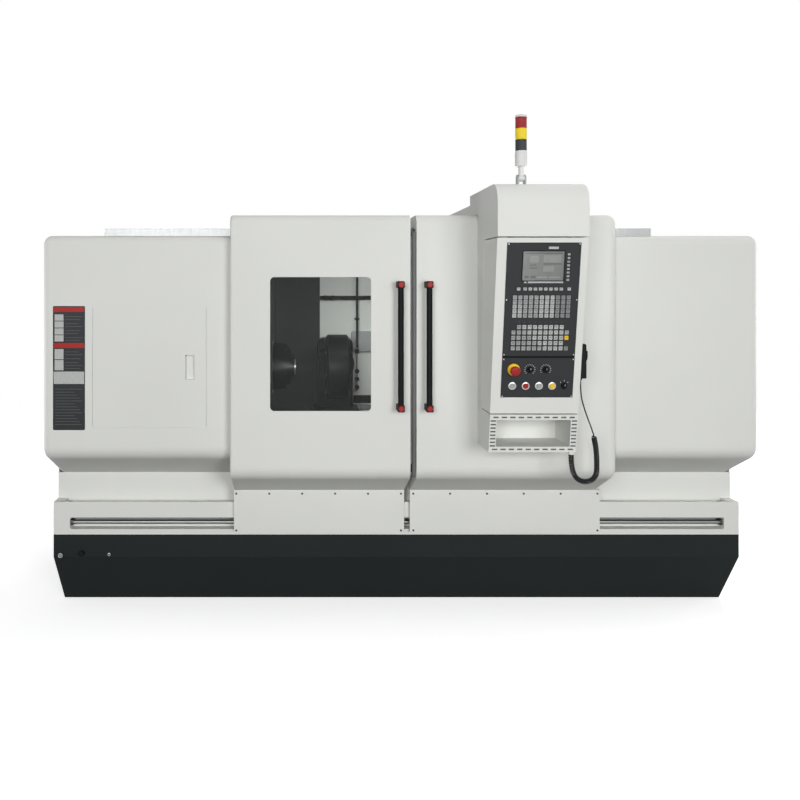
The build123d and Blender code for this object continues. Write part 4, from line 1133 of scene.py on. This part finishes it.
back_sheet_form = slab((0.304, 1.06, sheet), corner=0.004, edge=0.0005)
dark_sheet_stamps = at_front(back_sheet_form, [back_sheet_middle], wall_face)
side_sheet = holed_sheet(side_sheet_low, side_sheet_high, chuck_hole, sheet)
dark_sheet_stamps.append((side_sheet, at(side_face, *axis_place, along_spindle)))
stamped("dark_sheets", dark_sheet_stamps, dark_sheet_paint, "frame", smooth=False)
print("guard sheets", len(dark_sheet_stamps))

# %% Duct and pipe
duct_height = 1.722
duct_middle = 0.135
duct_clip_columns = (-0.36, -0.31, 0.0, 0.3, 0.62)
duct_form = slab((1.06, 0.028, 0.026), edge=0.003)
clip_form = slab((0.016, 0.034, 0.029), edge=0.002)
duct_clips = [(x, duct_height) for x in duct_clip_columns]
duct_stamps = at_front(duct_form, [(duct_middle, duct_height)], wall_face)
duct_stamps += at_front(clip_form, duct_clips, wall_face)
stamped("cable_duct", duct_stamps, black_plastic, "frame", smooth=False)

pipe_radius = 0.008
pipe_spot = (-0.145, 0.098)
pipe_top = 1.955
pipe_run = 0.52
bend_radius = 0.05
bend_angle = math.radians(-60)
pipe_clip_heights = (1.88, 1.58)
pipe_work = bmesh.new()
bmesh.ops.create_circle(pipe_work, segments=20, radius=pipe_radius)
bmesh.ops.translate(pipe_work, vec=(*pipe_spot, pipe_top), verts=pipe_work.verts)
run = bmesh.ops.extrude_edge_only(pipe_work, edges=pipe_work.edges[:])["geom"]
run_corners = [part for part in run if isinstance(part, bmesh.types.BMVert)]
bmesh.ops.translate(pipe_work, vec=(0, 0, -pipe_run), verts=run_corners)
bmesh.ops.spin(
    pipe_work,
    geom=[part for part in run if isinstance(part, bmesh.types.BMEdge)],
    cent=(pipe_spot[0], pipe_spot[1] - bend_radius, pipe_top - pipe_run),
    axis=(1, 0, 0),
    angle=bend_angle,
    steps=10,
)
bmesh.ops.remove_doubles(pipe_work, verts=pipe_work.verts, dist=same_place)
bmesh.ops.holes_fill(pipe_work, edges=[edge for edge in pipe_work.edges if edge.is_boundary])
bmesh.ops.recalc_face_normals(pipe_work, faces=pipe_work.faces)
pipe_clip = slab((0.030, 0.014, 0.050), corner=0.003, edge=0.002)
for pipe_stamp in at_front(pipe_clip, [(pipe_spot[0], z) for z in pipe_clip_heights], wall_face):
    stamp(pipe_work, *pipe_stamp)
piece("coolant_pipe", pipe_work, rubber, "frame")
print("duct clips", len(duct_clips), "pipe", pipe_run, "m")

# %% [markdown]
# ## Coolant valves on the back wall
# Below the pipe's bend a valve block, three hand valves and a short steel pipe feed the nozzles. A grey
# junction box and a dark ledge with a steel lip complete what the pane shows of the wall.

# %% Valves, junction box and ledge
valve_heights = (1.226, 1.171, 1.117)
valve_block_height = 1.361
feed_radius = 0.007
feed_foot = 1.090
feed_length = 0.262
box_place = (-0.108, 1.425)
ledge_height = 1.032
ledge_lip_height = 0.975
ledge_length = 0.860
ledge_middle = 0.262
valve_block = slab((0.026, 0.032, 0.034), corner=0.004, edge=0.003)
valve_profile = [(0, 0), (0.006, 0), (0.006, 0.022), (0.013, 0.024), (0.0155, 0.028), (0.0155, 0.038)]
valve_knob = turned(valve_profile + [(0.012, 0.042), (0, 0.042)], steps=20)
valve_stamps = at_front(valve_block, [(pipe_spot[0], valve_block_height)], wall_face)
valve_stamps += at_front(valve_knob, [(pipe_spot[0], z) for z in valve_heights], wall_face)
stamped("coolant_valves", valve_stamps, black_plastic, "frame")
feed_form = turned([(0, 0), (feed_radius, 0), (feed_radius, feed_length), (0, feed_length)], steps=20)
feed_stamps = [(feed_form, at(pipe_spot[0], wall_face - feed_radius, feed_foot))]
stamped("valve_pipe", feed_stamps, dull_steel, "frame")

box_grey = finish("box_grey", (0.34, 0.35, 0.345), (0.30, 0.31, 0.305), drift_scale=6, peel_height=0.02)
box_form = slab((0.150, 0.140, 0.020), corner=0.012, edge=0.004)
ledge_form = slab((ledge_length, 0.052, 0.022), edge=0.004)
lip_strip = slab((ledge_length, 0.036, 0.012), edge=0.003)
wall_stamps = [
    (box_form, at(box_place[0], wall_face, box_place[1], front_frame), 0),
    (ledge_form, at(ledge_middle, wall_face, ledge_height, front_frame), 1),
    (lip_strip, at(ledge_middle, wall_face, ledge_lip_height, front_frame), 2),
]
wall_finishes = [box_grey, whirl_black, dull_steel]
stamped("wall_fittings", wall_stamps, wall_finishes, "frame", smooth=False)
print("valves", len(valve_heights), "wall fittings", len(wall_stamps))

# %% [markdown]
# ## Bolts of chuck and whirling head
# The chuck's steps and the head's rim are held by socket screws on a circle. They lie along the spindle,
# so the turned screw head is faced along X and walked round the axis.

# %% Bolt circles
chuck_bolt_count = 6
chuck_circles = [(-0.6237, 0.1335, 0.3), (-0.5897, 0.097, 0.0)]
head_bolt_count = 8
head_bolt_radius = 0.176
head_bolt_start = 0.2
head_faces = [(-0.230, along_spindle), (-0.370, against_spindle)]
bolt_form = turned(
    [(0, 0.004), (0.004, 0.004), (0.0045, 0.008), (0.0072, 0.008), (0.0082, 0.0068), (0.0082, 0)],
    steps=18,
)


def bolt_circle(x, radius, count, facing, start):
    """Screw heads on a circle round the spindle axis, from a start in radians."""
    y, z = axis_place
    stamps = []
    for each in range(count):
        turn = start + 2 * math.pi * each / count
        spot = at(x, y + radius * math.cos(turn), z + radius * math.sin(turn), facing)
        stamps.append((bolt_form, spot))
    return stamps


chuck_stamps = []
for x, radius, start in chuck_circles:
    chuck_stamps += bolt_circle(x, radius, chuck_bolt_count, along_spindle, start)
stamped("chuck_bolts", chuck_stamps, dark_steel, "spindle")
head_stamps = []
for x, facing in head_faces:
    head_stamps += bolt_circle(x, head_bolt_radius, head_bolt_count, facing, head_bolt_start)
stamped("whirl_head_bolts", head_stamps, screw_steel, "whirl_head")
print("bolts", len(chuck_stamps) + len(head_stamps))

# %% [markdown]
# ## Fittings on base and tray
# Near the left end of the base, just above its fold, sit a lifting eye, a round drain knob and a small
# grease nipple, all turned. Clamps hold the round rail in the tray's slot, and black plates over its
# drains are painted shade, for the dark of the drain holes.

# %% Base fittings
base_front = -0.8425
eye_spot = (-1.854, 0.318)
drain_spot = (-1.738, 0.330)
nipple_spot = (-1.588, 0.320)
foot_height = 0.012
foot_profile = [(0, 0), (0.009, 0), (0.009, 0.003), (0.005, 0.005), (0.004, foot_height), (0, foot_height)]
foot_form = turned(foot_profile, steps=20)
base_eye = eye(radius=0.0105, wire_radius=0.003, sides=8, steps=24)
nipple_profile = [(0, 0), (0.0085, 0), (0.0085, 0.004), (0.005, 0.005), (0.005, 0.013)]
nipple_form = turned(nipple_profile + [(0.003, 0.016), (0, 0.016)], steps=20)
fitting_stamps = at_front(foot_form, [eye_spot], base_front)
fitting_stamps += at_front(base_eye, [eye_spot], base_front - foot_height)
fitting_stamps += at_front(nipple_form, [nipple_spot], base_front)
stamped("base_fittings", fitting_stamps, dull_steel, "frame")
drain_profile = [(0, 0), (0.016, 0), (0.016, 0.004), (0.008, 0.006), (0.008, 0.012), (0.014, 0.014)]
drain_form = turned(drain_profile + [(0.014, 0.024), (0, 0.027)], steps=24)
drain_stamps = at_front(drain_form, [drain_spot], base_front)
stamped("drain_knob", drain_stamps, black_plastic, "frame")
print("base fittings", len(fitting_stamps) + len(drain_stamps))

# %% Rail clamps, and painted shade in the tray's drains
rail_line = (-0.810, 0.492)
channel_line = (-0.795, 0.594)
clamp_columns = (-1.805, 1.799)
drain_shade_columns = (-1.822, 1.822)
clamp_form = slab((0.034, 0.040, 0.014), corner=0.010, edge=0.0015, rounds=4)
clamp_stamps = [(clamp_form, at(x, *rail_line, along_spindle)) for x in clamp_columns]
stamped("rail_clamps", clamp_stamps, screw_steel, "frame")
# Black plates over the tray's drains are painted shade, for the dark of the drain holes.
drain_shade_form = slab((0.026, 0.052, 0.002), corner=0.006, edge=0.0006)
drain_shade_stamps = [(drain_shade_form, at(x, *channel_line)) for x in drain_shade_columns]
stamped("tray_drain_shade", drain_shade_stamps, black_plastic, "frame", smooth=False)
print("clamps", len(clamp_stamps), "strainers", len(drain_shade_stamps))

# %% [markdown]
# ## Back and sides
# The covers at the back come off for service, so they carry screws, pulls and rows of louvres that let
# warm air out. The same vents sit in both end walls, and four eyes on the roof take the lifting slings.
# A louvre is pressed from the sheet, so it is a low softened ridge with its opening below it, and that
# opening is a dark strip of painted shade.

# %% Louvres, pulls and cover screws
cover_face = 0.6455
cover_places = (-1.18, 0.0, 1.18)
cover_reach = 0.290
cover_screw_rows = {0.780: (1, 0, -1), 1.560: (1, 0, -1), 1.170: (-1, 1)}
pull_reach = 0.22
pull_height = 1.12
rear_vent_height = 1.385
rear_vent_width = 0.40
louvre_rows = 9
louvre_pitch = 0.034
mouth_drop = 0.0125
# The dark strip below each louvre is painted shade of its opening.
louvre_mouth_shade = finish("louvre_mouth_shade", (0.012, 0.012, 0.012), (0.016, 0.016, 0.016), drift_scale=20)
vent_finishes = [white_paint, louvre_mouth_shade]


def vent(frame_at, width):
    """Rows of louvres on a face that looks along the frame's own Z, with its Y up."""
    ridge = slab((width, 0.018, 0.009), corner=0.006, edge=0.005)
    mouth = slab((width - 0.014, 0.007, 0.0006))
    stamps = []
    for row in range(louvre_rows):
        up = (row - (louvre_rows - 1) / 2) * louvre_pitch
        stamps.append((ridge, frame_at @ Matrix.Translation((0, up, 0)), 0))
        stamps.append((mouth, frame_at @ Matrix.Translation((0, up - mouth_drop, 0)), 1))
    return stamps


def looking(degrees):
    """A frame that faces out of a wall, turned from the front about Z."""
    return Matrix.Rotation(math.radians(degrees), 4, "Z") @ front_frame


pull_profile = [(0, 0), (0.020, 0), (0.020, 0.003), (0.010, 0.006), (0.009, 0.016), (0.016, 0.019)]
pull_form = turned(pull_profile + [(0.017, 0.026), (0, 0.029)], steps=28)
vent_stamps, pull_stamps, rear_screws = [], [], []
for middle in cover_places:
    vent_stamps += vent(at(middle, cover_face, rear_vent_height, looking(180)), rear_vent_width)
    for x in (middle - pull_reach, middle + pull_reach):
        pull_stamps.append((pull_form, at(x, cover_face, pull_height, rear_frame)))
    for height, sides in cover_screw_rows.items():
        rear_screws += [(middle + side * cover_reach, cover_face, height) for side in sides]
stamped("rear_louvres", vent_stamps, vent_finishes, "frame", smooth=False)
stamped("rear_pulls", pull_stamps, black_plastic, "frame")
screw_row("rear_screws", skirt_screw, rear_screws, rear_frame, "frame")

# %% Vents in the end walls and lifting eyes
end_wall = 1.895
vent_middle = (0.02, 1.62)
vent_sheet = 0.002
end_vent_width = 0.42
vent_plate = slab((0.520, 0.380, vent_sheet), corner=0.012, edge=0.0008)
vent_screw_spots = [(y, z) for y in (-0.222, 0.02, 0.262) for z in (1.448, 1.792)]
end_stamps = []
for side in (-1, 1):
    look = looking(side * 90)
    end_stamps.append((vent_plate, at(side * end_wall, *vent_middle, look), 0))
    end_stamps += vent(at(side * (end_wall + vent_sheet), *vent_middle, look), end_vent_width)
stamped("end_vents", end_stamps, vent_finishes, "frame", smooth=False)
for name, side in (("left_vent_screws", -1), ("right_vent_screws", 1)):
    spots = [(side * (end_wall + vent_sheet), *spot) for spot in vent_screw_spots]
    screw_row(name, skirt_screw, spots, looking(side * 90), "frame")

roof_top = 2.072
ring_rise = 0.030
sling_places = [(x, y) for x in (-1.55, 1.55) for y in (0.10, 0.50)]
sling_ring = eye(radius=0.019, wire_radius=0.005, sides=10, steps=28)
sling_profile = [(0, 0), (0.018, 0), (0.018, 0.004), (0.010, 0.008), (0.007, 0.012), (0, 0.012)]
sling_foot = turned(sling_profile, steps=24)
sling_stamps = []
for x, y in sling_places:
    sling_stamps.append((sling_foot, at(x, y, roof_top)))
    sling_stamps.append((sling_ring, at(x, y, roof_top + ring_rise, front_frame)))
stamped("sling_eyes", sling_stamps, dull_steel, "frame")
print("sling eyes", len(sling_stamps) // 2)

# %% [markdown]
# ## Stage and light
# A product picture has a white ground, so the floor is pale and fades to plain white a few metres out.
# Two broad soft lights stand in front of the machine with a gap between them, so that the pane does not
# mirror them, and a small low one lifts the control column. Others light the ends, the back, the roof and
# the chamber, an even sky fills in, and the floor throws back less light than it shows, so undersides
# stay in shade.

# %% Floor
floor_reach = 40
fade_start = 4
fade_end = 9


def shown_rays(tree):
    """A node that is 1 for rays that show the ground: straight, mirrored or through the pane."""
    ray = add_node(tree, "LightPath")
    bent = add_node(tree, "Math", {"operation": "MAXIMUM"})
    seen = add_node(tree, "Math", {"operation": "MAXIMUM"})
    wire(
        tree,
        (ray, "Is Glossy Ray", bent, 0),
        (ray, "Is Transmission Ray", bent, 1),
        (ray, "Is Camera Ray", seen, 0),
        (bent, 0, seen, 1),
    )
    return seen


floor_work = bmesh.new()
bmesh.ops.create_circle(floor_work, cap_ends=True, radius=floor_reach, segments=64)
floor_mesh = keep_form(floor_work, "floor")
floor = bpy.data.objects.new("floor", floor_mesh)
scene.collection.objects.link(floor)

floor_paint = bpy.data.materials.new("floor_paint")
floor_paint.use_nodes = True
ground = floor_paint.node_tree
ground.nodes.clear()
surface_end = add_node(ground, "OutputMaterial")
matt_floor = add_node(ground, "BsdfDiffuse", color=(0.80, 0.80, 0.80, 1))
lift = add_node(ground, "Emission", strength=0.6)
shown = add_node(ground, "AddShader")
thrown = add_node(ground, "BsdfDiffuse", color=(0.03, 0.03, 0.03, 1))
white = add_node(ground, "Emission")
seen = shown_rays(ground)
near = add_node(ground, "MixShader")
far = add_node(ground, "MixShader")
ground_spot = add_node(ground, "TexCoord")
distance = add_node(ground, "VectorMath", {"operation": "LENGTH"})
fade = add_node(
    ground, "MapRange", {"interpolation_type": "SMOOTHSTEP"}, from_min=fade_start, from_max=fade_end
)
both = add_node(ground, "Math", {"operation": "MULTIPLY"})
wire(
    ground,
    (seen, 0, near, "Fac"),
    (matt_floor, 0, shown, 0),
    (lift, 0, shown, 1),
    (thrown, 0, near, 1),
    (shown, 0, near, 2),
    (ground_spot, "Object", distance, 0),
    (distance, "Value", fade, "Value"),
    (fade, "Result", both, 0),
    (seen, 0, both, 1),
    (both, 0, far, "Fac"),
    (near, 0, far, 1),
    (white, 0, far, 2),
    (far, 0, surface_end, "Surface"),
)
floor_mesh.materials.append(floor_paint)
print("floor fades from", fade_start, "to", fade_end, "m")

# %% Sky and lamps
sky_strength = 0.20
world = bpy.data.worlds.new("studio")
world.use_nodes = True
scene.world = world
heaven = world.node_tree
sky = heaven.nodes["Background"]
sky.inputs["Color"].default_value = (0.97, 0.985, 1, 1)
sky.inputs["Strength"].default_value = sky_strength
backdrop = add_node(heaven, "Background", color=(1, 1, 1, 1))
sky_mix = add_node(heaven, "MixShader")
wire(
    heaven,
    (shown_rays(heaven), 0, sky_mix, "Fac"),
    (sky, 0, sky_mix, 1),
    (backdrop, 0, sky_mix, 2),
    (sky_mix, 0, heaven.nodes["World Output"], "Surface"),
)


def soft_lamp(name, place, aim, width, height, watts):
    """A rectangular soft box that faces a point."""
    data = bpy.data.lights.new(name, "AREA")
    data.shape = "RECTANGLE"
    data.size = width
    data.size_y = height
    data.energy = watts
    lamp = bpy.data.objects.new(name, data)
    lamp.location = place
    lamp.rotation_euler = (Vector(aim) - Vector(place)).to_track_quat("-Z", "Y").to_euler()
    scene.collection.objects.link(lamp)


soft_boxes = {
    "front_left_box": ((-3.0, -10.5, 3.1), (-0.2, -1.0, 1.0), 3.6, 3.0, 440),
    "front_right_box": ((3.4, -10.5, 3.1), (0.4, -1.0, 1.0), 3.6, 3.0, 330),
    "low_box": ((1.0, -5.0, 1.2), (0.6, -1.2, 1.2), 1.0, 0.9, 22),
    "roof_box": ((2.8, 0.9, 6.5), (0.0, 0.6, 2.0), 4.4, 3.0, 120),
    "rear_box": ((2.8, 8.0, 2.4), (0.0, 0.6, 1.2), 5.0, 3.5, 470),
    "right_box": ((8.5, 0.5, 2.0), (1.9, -0.3, 1.2), 5.0, 3.0, 230),
    "left_box": ((-8.5, 1.0, 0.7), (-1.9, 0.0, 1.1), 5.0, 1.1, 270),
    "chamber_lamp": ((0.1, -0.75, 1.93), (-0.1, 0.14, 1.3), 0.9, 0.06, 2.6),
}
for name, box in soft_boxes.items():
    soft_lamp(name, *box)
print("lamps", len(bpy.data.lights))
